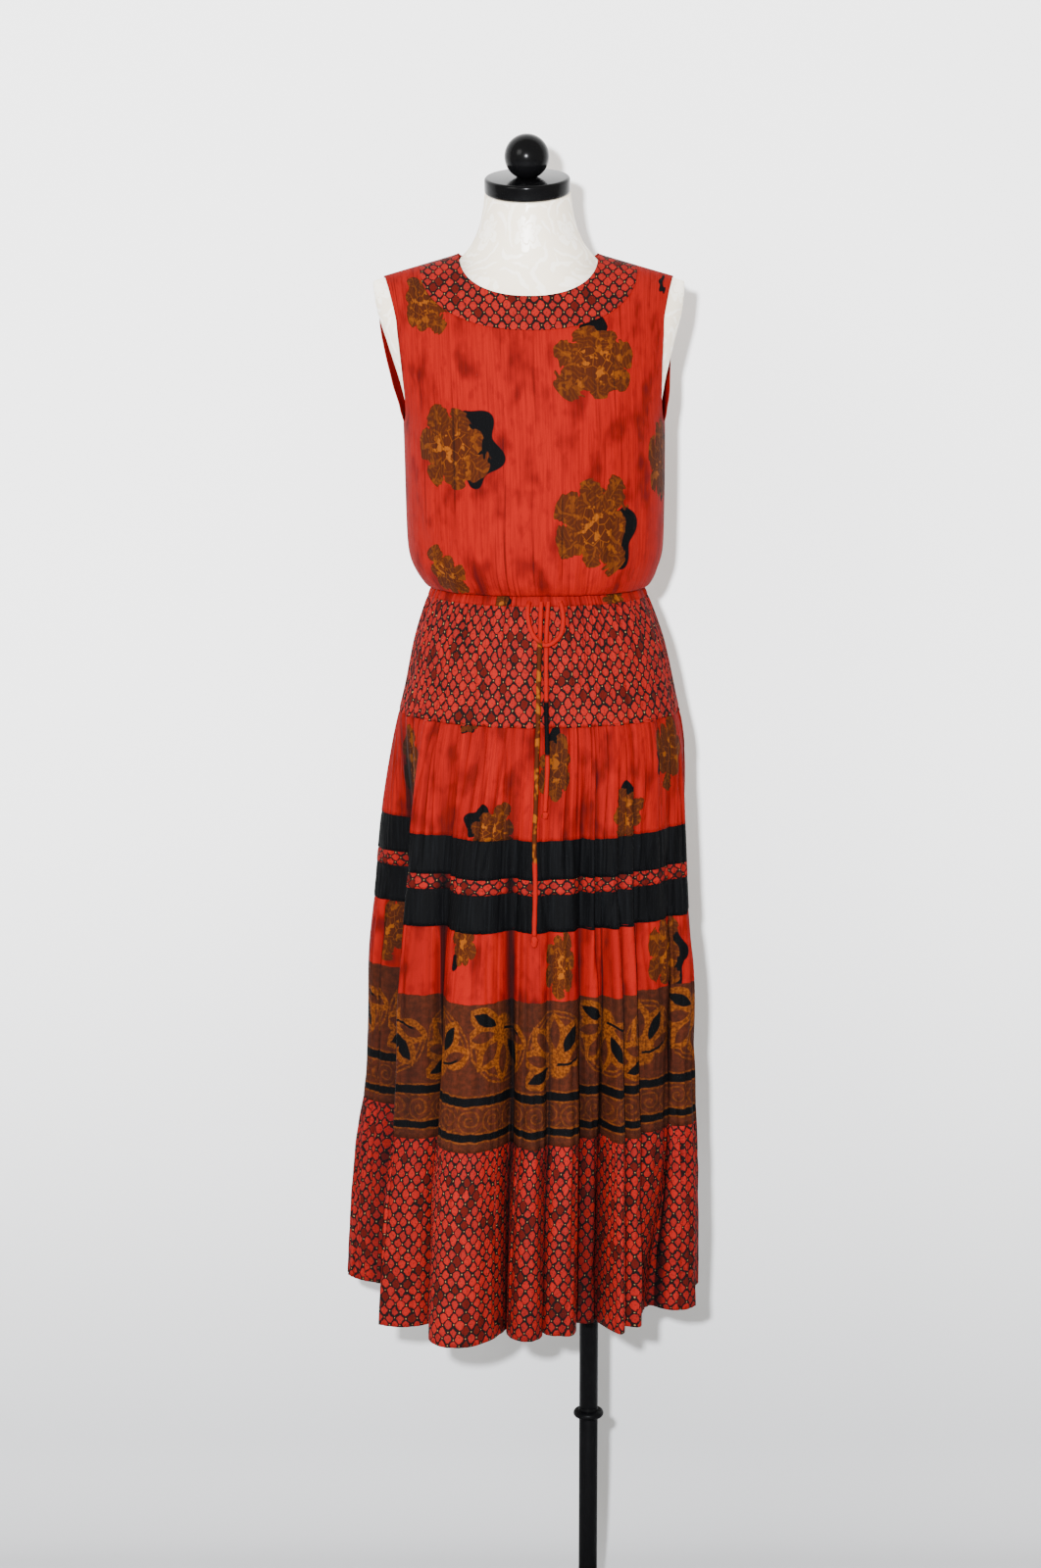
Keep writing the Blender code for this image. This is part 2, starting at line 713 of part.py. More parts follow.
def main():
    for thing in list(bpy.data.objects):
        bpy.data.objects.remove(thing)
    collection = bpy.data.collections.new("midi_dress_on_form")
    bpy.context.scene.collection.children.link(collection)

    red_print = finish_material("red_flower_cloth", (0.60, 0.030, 0.012), 0.8)
    pebble_print = finish_material("pebble_cloth", (0.42, 0.030, 0.018), 0.8)
    black_cloth = finish_material("black_cloth", (0.010, 0.010, 0.012), 0.85)
    border_print = finish_material("border_cloth", (0.20, 0.050, 0.012), 0.8)
    ivory = finish_material("ivory_damask", (0.80, 0.74, 0.66), 0.5)
    lacquer = finish_material("black_lacquer", (0.012, 0.012, 0.012), 0.25)
    pole_black = finish_material("pole_black", (0.012, 0.012, 0.013), 0.35)

    for side in ("front", "back"):
        bodice_panel(side, red_print, collection)
        neck_band(side, pebble_print, collection)
    skirt_tier("waist_casing", casing_top, yoke_top, 1, red_print, collection)
    skirt_tier("yoke", yoke_top, floral_top, 2, pebble_print, collection)
    skirt_tier("floral_tier", floral_top, black_upper_top, 2, red_print, collection)
    skirt_tier("black_band_upper", black_upper_top, pebble_strip_top, 1, black_cloth, collection)
    skirt_tier("pebble_strip", pebble_strip_top, black_lower_top, 1, pebble_print, collection)
    skirt_tier("black_band_lower", black_lower_top, border_top, 1, black_cloth, collection)
    skirt_tier("border_tier", border_top, hem_tier_top, 3, border_print, collection)
    skirt_tier("hem_tier", hem_tier_top, hem_height, 3, pebble_print, collection)

    cord("tie_loop", tie_loop_route, red_print, collection)
    cord("tie_end_long", tie_long_route, red_print, collection)
    cord("tie_end_short", tie_short_route, red_print, collection)
    knot("tie_knot_long", tie_long_route[-1], long_knot, red_print, collection)
    knot("tie_knot_short", tie_short_route[-1], short_knot, red_print, collection)

    form_torso(ivory, collection)
    neck_cap(lacquer, collection)
    cap_ball(lacquer, collection)
    pole_top, pole_foot = torso_bottom - seam_gap, base_thick + seam_gap
    round_bar("upper_pole", pole_radius, pole_split + seam_gap, pole_top, pole_black, collection)
    round_bar("lower_pole", pole_radius, pole_foot, pole_split, pole_black, collection)
    pole_ring(pole_black, collection)
    round_bar("base_plate", base_radius, 0.0, base_thick, pole_black, collection, base_edge)


main()
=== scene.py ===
import functools
import math

import bmesh
import bpy
from mathutils import Matrix, Vector, noise


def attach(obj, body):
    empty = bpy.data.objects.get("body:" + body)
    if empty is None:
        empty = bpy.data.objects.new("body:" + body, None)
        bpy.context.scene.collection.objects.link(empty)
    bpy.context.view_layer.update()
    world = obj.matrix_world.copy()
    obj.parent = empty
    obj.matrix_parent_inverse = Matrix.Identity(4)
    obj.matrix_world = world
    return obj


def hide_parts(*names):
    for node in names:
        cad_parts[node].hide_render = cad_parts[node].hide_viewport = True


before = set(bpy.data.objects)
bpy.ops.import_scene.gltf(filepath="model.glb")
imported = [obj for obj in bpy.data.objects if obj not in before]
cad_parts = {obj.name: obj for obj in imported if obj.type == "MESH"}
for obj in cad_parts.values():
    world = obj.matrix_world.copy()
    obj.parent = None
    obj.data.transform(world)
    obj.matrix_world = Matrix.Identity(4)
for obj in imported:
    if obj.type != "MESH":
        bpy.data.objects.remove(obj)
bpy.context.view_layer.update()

# The skirt, in metres and degrees. Bearings run from the front towards +X.
skirt = {
    # height, half width, half depth, centre x
    "sections": (
        (0.46, 0.21, 0.182, -0.0797), (0.55, 0.2075, 0.179, -0.0775), (0.6315, 0.203, 0.173, -0.075),
        (0.684, 0.1974, 0.167, -0.0719), (0.77, 0.193, 0.16, -0.0702), (0.8575, 0.1911, 0.153, -0.0698),
        (0.937, 0.1842, 0.1455, -0.0689), (1.0375, 0.1775, 0.136, -0.0664), (1.13, 0.1678, 0.124, -0.0613),
        (1.193, 0.1542, 0.114, -0.06), (1.24, 0.144, 0.108, -0.0607), (1.272, 0.134, 0.103, -0.0616),
        (1.308, 0.12, 0.0965, -0.0624)),
    # turning points of the folds: bearing, out, lean at the hem, start height, full height,
    # how far the cloth up to the next turn closes in on the dip, or on the crest where it is negative
    "folds": (
        (-102.0, 0.009, -4.0, 1.16, 0.9, 0.1), (-70.0, -0.052, -18.0, 1.16, 0.96, -0.8),
        (-51.0, 0.014, 3.0, 1.13, 0.93, 0.33), (-37.0, -0.038, 0.5, 1.12, 0.5, 0.34),
        (-19.5, 0.034, -0.5, 1.14, 0.48, 0.33), (-9.0, -0.042, 3.2, 1.14, 0.48, 0.33),
        (1.0, 0.006, 0.5, 1.1, 0.5, 0.33), (7.0, -0.022, 0.0, 1.1, 0.5, 0.33),
        (12.5, -0.006, 2.0, 1.14, 0.52, 0.33), (18.5, -0.05, 4.0, 1.14, 0.52, 0.33),
        (22.5, -0.037, 5.0, 1.0, 0.52, 0.33), (26.0, -0.056, 8.0, 1.0, 0.52, 0.33),
        (31.0, 0.008, 0.0, 1.14, 0.5, 0.33), (34.5, -0.022, 2.5, 1.14, 0.5, 0.33),
        (38.0, -0.002, 2.0, 1.08, 0.55, 0.33), (42.0, -0.034, 4.0, 1.08, 0.55, 0.33),
        (54.0, -0.006, 0.0, 1.12, 0.7, 0.33), (63.0, -0.014, -1.0, 1.12, 0.7, 0.33),
        (74.0, 0.011, -7.0, 1.13, 0.8, 0.33), (85.0, -0.026, -4.0, 1.12, 0.8, 0.33),
        (95.0, 0.003, 0.0, 1.1, 0.6, 0.33), (106.0, -0.024, 3.0, 1.1, 0.6, 0.33),
        (118.0, 0.01, 0.0, 1.13, 0.5, 0.33), (130.0, -0.03, -2.0, 1.13, 0.5, 0.33),
        (142.0, 0.016, 1.0, 1.1, 0.5, 0.33), (153.0, -0.026, 2.5, 1.1, 0.5, 0.33),
        (164.0, 0.018, 0.0, 1.14, 0.48, 0.33), (175.0, -0.032, -2.0, 1.14, 0.48, 0.33),
        (187.0, 0.02, 0.0, 1.12, 0.5, 0.33), (198.0, -0.026, 2.0, 1.12, 0.5, 0.33),
        (209.0, 0.012, -1.0, 1.14, 0.55, 0.33), (221.0, -0.03, -2.5, 1.14, 0.55, 0.33),
        (232.0, 0.012, 0.0, 1.1, 0.6, 0.33), (246.0, -0.024, 1.5, 1.1, 0.6, 0.33)),
    # parts drawn in or out near the hem: place, width in degrees, out, start height, full height
    "draws": ((57.0, 9.0, -0.028, 0.7, 0.46), (-28.0, 5.0, -0.022, 0.7, 0.46)),
    # line that the gathers hang from, their depth, how many to a metre, how far they fade
    "gathers": ((1.3061, 0.0028, 105, 0.08), (1.161, 0.0044, 84, 0.12), (0.931, 0.0036, 70, 0.13)),
    # small loose folds: depth, how fast they change round and up, shift of the noise, depth of creases
    "loose": ((0.0050, 26, 1.3, 3, 0.0), (0.0026, 52, 1.7, 8, 0.0034)),
    "looseFrom": 1.14, "looseOver": 0.5,
    "columns": 360,
    "evenAt": 0.56,          # height where the columns are evenly spaced
    "fineSteps": 1400,
    "noiseRadius": 0.16,
    "creaseRadius": 0.17,    # turns a listed crease's bearing into a width
    "cloth": 0.0009,
    "tuck": 0.0025,          # how far a tier's top lies under the one above
    "waistTuck": 0.005,
}

# name, top, bottom, rows, slot
tiers = (
    ("waist_casing", 1.3061, 1.2955, 6, "red_flower_cloth"),
    ("yoke", 1.2955, 1.161, 30, "pebble_cloth"),
    ("floral_tier", 1.161, 1.035, 26, "red_flower_cloth"),
    ("black_band_upper", 1.035, 0.991, 8, "black_cloth"),
    ("pebble_strip", 0.991, 0.974, 5, "pebble_cloth"),
    ("black_band_lower", 0.974, 0.931, 8, "black_cloth"),
    ("border_tier", 0.931, 0.684, 40, "border_cloth"),
    ("hem_tier", 0.684, 0.46, 36, "pebble_cloth"),
)

# Soft creases, listed one by one: bearing, top, bottom, depth, half width
skirtCreases = (
    (-41, 0.95, 0.5, 0.0065, 0.0035), (4.5, 0.9, 0.62, 0.004, 0.003), (24, 1.12, 0.86, 0.005, 0.003),
    (-33, 1.14, 0.9, 0.004, 0.0028), (-57, 1.14, 0.88, 0.005, 0.0035), (-47, 1.13, 0.98, 0.0036, 0.0026),
    (-20, 1.14, 1.0, 0.003, 0.0024), (-13, 1.0, 0.93, 0.0028, 0.0024), (12, 1.14, 0.96, 0.004, 0.0026),
    (19, 1.13, 1.02, 0.0034, 0.0024), (33, 1.14, 0.92, 0.0044, 0.0028), (41, 1.12, 0.94, 0.0044, 0.0028),
    (-80, 0.93, 0.6, 0.0022, 0.006), (-72, 1.1, 0.99, 0.0016, 0.004), (-52, 1.05, 0.82, 0.0018, 0.004),
    (-38, 0.92, 0.7, 0.002, 0.004), (-24, 1.12, 1.0, 0.0014, 0.003), (-12, 0.88, 0.55, 0.0018, 0.004),
    (-8, 1.09, 0.96, 0.0012, 0.003), (4, 0.8, 0.52, 0.0018, 0.004), (9, 1.13, 1.02, 0.0014, 0.003),
    (15, 0.92, 0.74, 0.0016, 0.003), (28, 1.1, 0.94, 0.0016, 0.003), (35, 0.8, 0.58, 0.0018, 0.004),
    (47, 0.9, 0.62, 0.0022, 0.005), (63, 1.05, 0.86, 0.0016, 0.004), (66, 0.74, 0.5, 0.0024, 0.006),
    (82, 0.98, 0.72, 0.002, 0.005), (97, 0.86, 0.58, 0.0022, 0.005), (111, 1.08, 0.9, 0.0016, 0.004),
    (124, 0.78, 0.52, 0.0022, 0.005), (137, 1.12, 0.97, 0.0014, 0.003), (148, 0.9, 0.66, 0.002, 0.004),
    (159, 1.06, 0.88, 0.0016, 0.003), (170, 0.8, 0.55, 0.0022, 0.005), (181, 1.11, 0.99, 0.0014, 0.003),
    (193, 0.92, 0.7, 0.002, 0.004), (204, 0.76, 0.5, 0.0024, 0.005), (215, 1.07, 0.9, 0.0016, 0.004),
    (227, 0.88, 0.64, 0.002, 0.005), (239, 1.1, 0.95, 0.0016, 0.004), (252, 0.82, 0.56, 0.0022, 0.005))

bodice = {
    # height, half width, front depth, back depth
    "sections": (
        (1.31, 0.1195, 0.096, 0.0955), (1.3094, 0.1232, 0.1, 0.099), (1.308, 0.1264, 0.104, 0.1025),
        (1.3125, 0.1306, 0.109, 0.1055), (1.325, 0.1375, 0.1155, 0.1085), (1.348, 0.1447, 0.1203, 0.109),
        (1.395, 0.1468, 0.1237, 0.105), (1.492, 0.148, 0.123, 0.0985)),
    "body": (
        (1.44, 0.1475, 0.1245, 0.101), (1.492, 0.148, 0.123, 0.0985), (1.51, 0.153, 0.1212, 0.098),
        (1.536, 0.159, 0.118, 0.097), (1.567, 0.167, 0.1115, 0.095), (1.6, 0.173, 0.1015, 0.091),
        (1.64, 0.179, 0.085, 0.081), (1.66, 0.179, 0.079, 0.074), (1.7, 0.179, 0.072, 0.062)),
    # the same for the back's two edges: height, half width of the front, of the back at -X, of the back at +X
    "armhole": (
        (1.492, 0.148, 0.148, 0.148), (1.5, 0.1445, 0.1502, 0.15), (1.52, 0.1432, 0.1552, 0.1545),
        (1.537, 0.1438, 0.1592, 0.1565), (1.567, 0.1455, 0.1656, 0.159), (1.597, 0.148, 0.17, 0.1625),
        (1.612, 0.1492, 0.17, 0.1645), (1.64, 0.156, 0.166, 0.164), (1.66, 0.162, 0.162, 0.162),
        (1.7, 0.162, 0.162, 0.162)),
    "centre": ((1.06, -0.062), (1.308, -0.0624), (1.333, -0.0645), (1.492, -0.0665),
               (1.56, -0.0695), (1.65, -0.0727), (1.765, -0.0743)),
    "underarm": 1.492,
    "power": 2.3,
    "domeStart": 1.56,
    "slope": 0.29,
    "neckHalf": 0.078,
    "neckHeight": 1.68,
    "bandHalf": 0.1215,
    "neckRise": 0.1,
    "neckRiseHalf": 0.085,
    "neckPower": 2.2,
    "drops": {"front": (0.0415, 0.065), "back": (0.01, 0.036)},
    "lowRows": 46, "bunching": 1.25,      # rows below the underarm, and how they crowd at the lower edge
    "highRows": 44, "closing": 1.15,      # rows above it, and how they crowd at the top
    "columns": 200,
    "underBand": 0.94,       # how far under the neck band the panel ends
    "mapFoot": 1.30,         # height of the lower edge on the cloth map
    "bandColumns": 150,
    "bandRows": 14,
    "cloth": 0.001,
}

# Bodice creases, listed one by one: side, from across and height, to across and height, depth, half width
bodiceCreases = (
    ("front", 0.136, 1.486, 0.086, 1.405, 0.0022, 0.006), ("front", 0.141, 1.455, 0.098, 1.36, 0.0018, 0.005),
    ("front", 0.128, 1.5, 0.1, 1.47, 0.0016, 0.004), ("front", -0.138, 1.48, -0.095, 1.415, 0.0018, 0.005),
    ("front", -0.142, 1.44, -0.118, 1.34, 0.002, 0.006), ("front", -0.1, 1.33, -0.096, 1.395, 0.0018, 0.005),
    ("front", -0.052, 1.318, -0.05, 1.372, 0.0016, 0.005), ("front", 0.03, 1.318, 0.034, 1.38, 0.0016, 0.005),
    ("front", 0.082, 1.322, 0.088, 1.398, 0.002, 0.006), ("front", 0.112, 1.33, 0.12, 1.42, 0.0018, 0.006),
    ("back", 0.136, 1.486, 0.09, 1.42, 0.002, 0.006), ("back", -0.138, 1.48, -0.092, 1.41, 0.002, 0.006),
    ("back", -0.06, 1.318, -0.056, 1.39, 0.0018, 0.006), ("back", 0.01, 1.318, 0.006, 1.376, 0.0016, 0.005),
    ("back", 0.072, 1.32, 0.076, 1.4, 0.002, 0.006), ("back", 0.118, 1.33, 0.122, 1.41, 0.0018, 0.006))

# Flowers, listed one by one: across from the body's centre line, height, half width, half height, turn in
# degrees, and how much black shadow lies beside it, from 0 to 3, or 4 for a black curl alone
flowersOn = {
    "bodice_front": (
        (0.072, 1.567, 0.055, 0.052, 95, 1), (-0.09, 1.48, 0.052, 0.056, 4, 3),
        (0.068, 1.387, 0.048, 0.062, -18, 2), (-0.1, 1.33, 0.032, 0.034, 200, 0),
        (-0.121, 1.628, 0.04, 0.044, 300, 0), (0.1395, 1.455, 0.026, 0.054, -10, 3),
        (0.153, 1.65, 0.018, 0.016, 200, 4)),
    "bodice_back": (
        (-0.07, 1.59, 0.052, 0.05, 40, 1), (0.085, 1.52, 0.052, 0.054, 110, 3),
        (-0.045, 1.44, 0.048, 0.058, 190, 2), (0.105, 1.385, 0.042, 0.048, 310, 0),
        (-0.13, 1.37, 0.036, 0.052, 260, 2), (0.015, 1.35, 0.036, 0.036, 20, 0)),
    "floral_tier_front": (
        (-0.142, 1.11, 0.036, 0.054, 95, 0), (0.02, 1.118, 0.026, 0.042, 100, 1),
        (0.148, 1.122, 0.028, 0.044, 195, 1), (-0.05, 1.044, 0.034, 0.034, 150, 2),
        (0.105, 1.058, 0.03, 0.034, 110, 2), (-0.079, 1.166, 0.014, 0.01, 270, 3)),
    "floral_tier_back": (
        (-0.125, 1.105, 0.032, 0.046, 15, 1), (-0.025, 1.075, 0.036, 0.042, 250, 0),
        (0.065, 1.128, 0.032, 0.038, 120, 2), (0.13, 1.07, 0.032, 0.044, 80, 0)),
    "border_tier_front": (
        (-0.172, 0.905, 0.036, 0.042, 140, 0), (0.025, 0.893, 0.024, 0.044, 90, 0),
        (0.148, 0.892, 0.034, 0.048, -20, 3), (-0.085, 0.912, 0.022, 0.028, 230, 1)),
    "border_tier_back": (
        (-0.13, 0.9, 0.034, 0.04, 60, 1), (-0.03, 0.908, 0.032, 0.034, 330, 0),
        (0.07, 0.896, 0.032, 0.042, 200, 2), (0.145, 0.91, 0.028, 0.034, 100, 0)),
    "waist_casing_front": ((-0.04, 1.3, 0.012, 0.012, 0, 2), (0.085, 1.301, 0.02, 0.012, 60, 1)),
    "waist_casing_back": ((0.03, 1.3, 0.014, 0.012, 90, 0),),
}
bloomSpan = 10.0           # spacing of the flowers' own coordinates in the bloom map
bloomReach = 1.9           # how far a flower's coordinates reach, in its half sizes

tie = {
    "radius": 0.0027,
    "knots": {"long": (0.0040, 0.014), "short": (0.0038, 0.009)},     # radius, height
    "parting": -0.0575,      # the long end lies left of it, the short end right
    "brownPart": (1.01, 1.262), "blackPart": (1.13, 1.194),
    "loop": (
        (-0.0722, -0.1012, 1.301), (-0.0738, -0.107, 1.296), (-0.0735, -0.111, 1.283),
        (-0.069, -0.114, 1.268), (-0.06, -0.1158, 1.2575), (-0.0525, -0.1158, 1.255),
        (-0.044, -0.1145, 1.259), (-0.0365, -0.1105, 1.268), (-0.0345, -0.1065, 1.283),
        (-0.036, -0.103, 1.2955), (-0.038, -0.0992, 1.301)),
    "long": (
        (-0.059, -0.1024, 1.301), (-0.0592, -0.1045, 1.295), (-0.06, -0.1074, 1.27),
        (-0.0615, -0.114, 1.225), (-0.0625, -0.1215, 1.17), (-0.064, -0.1292, 1.12),
        (-0.065, -0.1354, 1.075), (-0.0665, -0.1408, 1.035), (-0.0655, -0.147, 0.985),
        (-0.0665, -0.1517, 0.94), (-0.0665, -0.153, 0.931)),
    "short": (
        (-0.051, -0.1014, 1.301), (-0.0515, -0.1038, 1.295), (-0.053, -0.1072, 1.27),
        (-0.0535, -0.1135, 1.225), (-0.053, -0.1212, 1.17), (-0.052, -0.129, 1.12),
        (-0.054, -0.1344, 1.08), (-0.0545, -0.1358, 1.07)),
}

form = {
    "inset": 0.0045, "tipInset": 0.0022, "bandInset": 0.01, "tipRest": 0.145, "thinning": 0.3,
    "bottom": 1.06, "neckTop": 1.747, "tilt": math.radians(11.0), "roll": math.radians(1.0),
    "neckCentre": (-0.0743, -0.01),
    "armhole": ((1.492, 0.0), (1.51, 0.0045), (1.56, 0.0055), (1.59, 0.003), (1.612, 0.0)),
    "torso": (
        (1.06, 0.146, 0.1, 0.098), (1.075, 0.15, 0.104, 0.101), (1.13, 0.149, 0.105, 0.102),
        (1.19, 0.139, 0.1, 0.098), (1.25, 0.122, 0.09, 0.088), (1.295, 0.112, 0.085, 0.082),
        (1.33, 0.117, 0.092, 0.084), (1.39, 0.132, 0.108, 0.092), (1.45, 0.142, 0.117, 0.095)),
    "neck": (
        (1.683, 0.069, 0.061, 0.052), (1.693, 0.062, 0.0602, 0.048), (1.708, 0.0555, 0.0593, 0.044),
        (1.725, 0.051, 0.0584, 0.04), (1.747, 0.0478, 0.0578, 0.0378)),
    "upper": (1.492, 1.508, 1.525, 1.542, 1.56, 1.575, 1.59, 1.603, 1.615, 1.625, 1.634, 1.64, 1.646, 1.65,
              1.653, 1.657, 1.66, 1.664, 1.667, 1.67, 1.673),
    "evenRings": ((1.06, 0.39, 30), (1.683, 0.064, 16)),      # start, height, count
    "columns": 112,
    "capRadius": 0.048, "capThick": 0.018, "ballRadius": 0.025, "ballSeat": 0.0225,
    "poleRadius": 0.01125, "poleSplit": 0.305, "ringHeight": 0.297, "ringRadius": 0.0182, "ringHalf": 0.0045,
    "baseRadius": 0.17, "baseThick": 0.012, "gap": 0.0003,
    "capEdge": 0.0035, "poleEdge": 0.0004, "baseEdge": 0.0030,
}


# A value read from a table at a height, along a smooth curve through its rows
def between(table, height, column):
    if height <= table[0][0]:
        return table[0][column]
    if height >= table[-1][0]:
        return table[-1][column]
    index = max(i for i in range(len(table) - 1) if table[i][0] <= height)

    def slope(i):
        before, after = max(i - 1, 0), min(i + 1, len(table) - 1)
        return (table[after][column] - table[before][column]) / (table[after][0] - table[before][0])

    low, high = table[index], table[index + 1]
    step = high[0] - low[0]
    t = (height - low[0]) / step
    return ((2 * t**3 - 3 * t**2 + 1) * low[column] + (t**3 - 2 * t**2 + t) * step * slope(index)
            + (3 * t**2 - 2 * t**3) * high[column] + (t**3 - t**2) * step * slope(index + 1))


def smooth(value):
    value = min(max(value, 0.0), 1.0)
    return value * value * (3 - 2 * value)


foldTurns = list(skirt["folds"])
foldTurns.append((foldTurns[0][0] + 360, *foldTurns[0][1:]))


# Where a place round the skirt lies at a height: its bearing, how far out it stands, how near a dip's bottom
def foldedAt(place, height):
    turnsRound = math.floor((place - foldTurns[0][0]) / 360) * 360
    place -= turnsRound
    left, right = next(pair for pair in zip(foldTurns, foldTurns[1:]) if place <= pair[1][0])
    shares = [min(max((turn[3] - height) / (turn[3] - turn[4]), 0.0), 1.0) ** 0.85 for turn in (left, right)]
    along = (place - left[0]) / (right[0] - left[0])
    blend = (1 - math.cos(math.pi * along)) / 2
    outs = left[1] * shares[0], right[1] * shares[1]
    out = outs[0] * (1 - blend) + outs[1] * blend
    lean = left[2] * shares[0] * (1 - along) + right[2] * shares[1] * along
    downhill = outs[1] < outs[0]
    closing = (left[5] if downhill else -left[5]) * math.sin(math.pi * along) * (right[0] - left[0])
    closing *= (shares[0] + shares[1]) / 2
    lowest = (blend if downhill else 1 - blend) - 0.66
    low = smooth(lowest / 0.34) * min(1.0, abs(outs[1] - outs[0]) / 0.020)
    for spot, width, draw, start, full in skirt["draws"]:
        out += draw * smooth((start - height) / (start - full)) * math.exp(-((place - spot) / width) ** 2)
    return place + lean + closing + turnsRound, out, low


# A narrow crease wherever the noise passes through nought
def creased(value, narrow):
    return max(0.0, 1 - abs(value) / narrow) ** 1.5


# Fine gathers, small loose folds and the listed creases
def clothRelief(place, height):
    angle, radius = math.radians(place), skirt["noiseRadius"]
    ringX, ringY = math.cos(angle) * radius, math.sin(angle) * radius
    relief = 0.0
    for line, depth, perMetre, fade in skirt["gathers"]:
        if height <= line + 0.004:
            below = line - height
            near = math.exp(-max(below, 0.0) / fade)
            wave = noise.noise(Vector((ringX * perMetre, ringY * perMetre, below * 4 + line * 9)))
            relief -= depth * (0.35 + 0.65 * near) * creased(wave, 0.17)
            relief += depth * near * 0.8 * wave
    loose = smooth((skirt["looseFrom"] - height) / skirt["looseOver"])
    for depth, around, up, shift, creaseDepth in skirt["loose"]:
        wave = noise.noise(Vector((ringX * around, ringY * around, height * up + shift)))
        relief += depth * loose * wave - creaseDepth * loose * creased(wave, 0.10)
    for spot, top, bottom, depth, half in skirtCreases:
        if bottom < height < top:
            away = abs((place - spot + 180) % 360 - 180)
            if away < 6:
                across = math.radians(away) * skirt["creaseRadius"] / half
                along = smooth((top - height) / 0.05) * smooth((height - bottom) / 0.05)
                relief -= depth * along * math.exp(-across * across)
    return relief


def skirtPoint(spot, height, inset=0.0):
    half, depth, centre = (between(skirt["sections"], height, column) for column in (1, 2, 3))
    bearing, out, _ = foldedAt(spot, height)
    angle = math.radians(bearing)
    reach = math.hypot(math.sin(angle) * half, math.cos(angle) * depth)
    scale = (reach + out + clothRelief(spot, height) - inset) / reach
    return Vector((centre + math.sin(angle) * half * scale, -math.cos(angle) * depth * scale, height))


# How far each point lies along a line of points
def walkedAlong(points, least=0.0):
    walked = [0.0]
    for a, b in zip(points, points[1:]):
        walked.append(walked[-1] + (b - a).length + least)
    return walked


# The same, measured from the line's middle
def runLengths(points):
    walked = walkedAlong(points)
    return [value - walked[-1] / 2 for value in walked]


# Bearings down which a panel's columns run, evenly spaced along its folds
def panelBearings(start, end):
    steps = skirt["fineSteps"]
    fine = [start + (end - start) * i / steps for i in range(steps + 1)]
    walked = walkedAlong([skirtPoint(bearing, skirt["evenAt"]) for bearing in fine], 0.00006)
    wanted, chosen, index = walked[-1] / skirt["columns"], [], 0
    for column in range(skirt["columns"] + 1):
        while index < steps and walked[index] < wanted * column - 1e-9:
            index += 1
        chosen.append(fine[index])
    return chosen[:-1] + [end]


def newObject(name, data):
    piece = bpy.data.objects.new(name, data)
    bpy.context.collection.objects.link(piece)
    return piece


# A sheet of cloth from a grid, its points placed by row and column, with a map in metres
def clothSheet(name, columns, rows, place, mapAt, thick, depthAt=lambda column, row: (0, 0)):
    grid = bmesh.new()
    bmesh.ops.create_grid(grid, x_segments=columns, y_segments=rows, size=0.5)
    spots = {}
    for vert in grid.verts:
        spots[vert.index] = (round((vert.co.x + 0.5) * columns), round((vert.co.y + 0.5) * rows))
    clothMap, bloomMap, depthMap = (grid.loops.layers.uv.new(kind) for kind in ("cloth", "bloom", "depth"))
    onCloth = {index: mapAt(*spot) for index, spot in spots.items()}
    inDepth = {index: depthAt(*spot) for index, spot in spots.items()}
    for face in grid.faces:
        for loop in face.loops:
            loop[clothMap].uv = onCloth[loop.vert.index]
            loop[bloomMap].uv = (-bloomSpan / 2, 0)
            # the depth map holds fold and crease depth for the painted shade
            loop[depthMap].uv = inDepth[loop.vert.index]
    for vert in grid.verts:
        vert.co = place(*spots[vert.index])
    plantFlowers(name, grid, clothMap, bloomMap)
    mesh = bpy.data.meshes.new(name)
    grid.to_mesh(mesh)
    grid.free()
    mesh.shade_smooth()
    piece = newObject("cloth_" + name, mesh)
    wall = piece.modifiers.new("thickness", "SOLIDIFY")
    wall.thickness = thick
    wall.offset = -1
    return piece


# Each face near a flower gets that flower's own coordinates in the bloom map
def plantFlowers(name, grid, clothMap, bloomMap):
    spots = []
    for across, height, halfWidth, halfHeight, turn, shadow in flowersOn.get(name, ()):
        spotX = centreAt(height) + across
        nearest = min(grid.verts, key=lambda vert: (vert.co.x - spotX) ** 2 + (vert.co.z - height) ** 2)
        spot = nearest.link_loops[0][clothMap].uv.copy()
        spots.append((spot, halfWidth, halfHeight, math.radians(turn), shadow))
    if not spots:
        return
    for face in grid.faces:
        middle = sum((loop[clothMap].uv for loop in face.loops), Vector((0, 0))) / len(face.loops)
        best, found = bloomReach, None
        for number, (spot, halfWidth, halfHeight, _, _) in enumerate(spots):
            away = math.hypot((middle.x - spot.x) / halfWidth, (middle.y - spot.y) / halfHeight)
            if away < best:
                best, found = away, number
        if found is None:
            continue
        spot, halfWidth, halfHeight, turn, shadow = spots[found]
        for loop in face.loops:
            x = (loop[clothMap].uv.x - spot.x) / halfWidth
            y = (loop[clothMap].uv.y - spot.y) / halfHeight
            loop[bloomMap].uv = (x * math.cos(turn) + y * math.sin(turn) + bloomSpan * (found + 1),
                                 y * math.cos(turn) - x * math.sin(turn) + bloomSpan * shadow)


clothPieces = {}


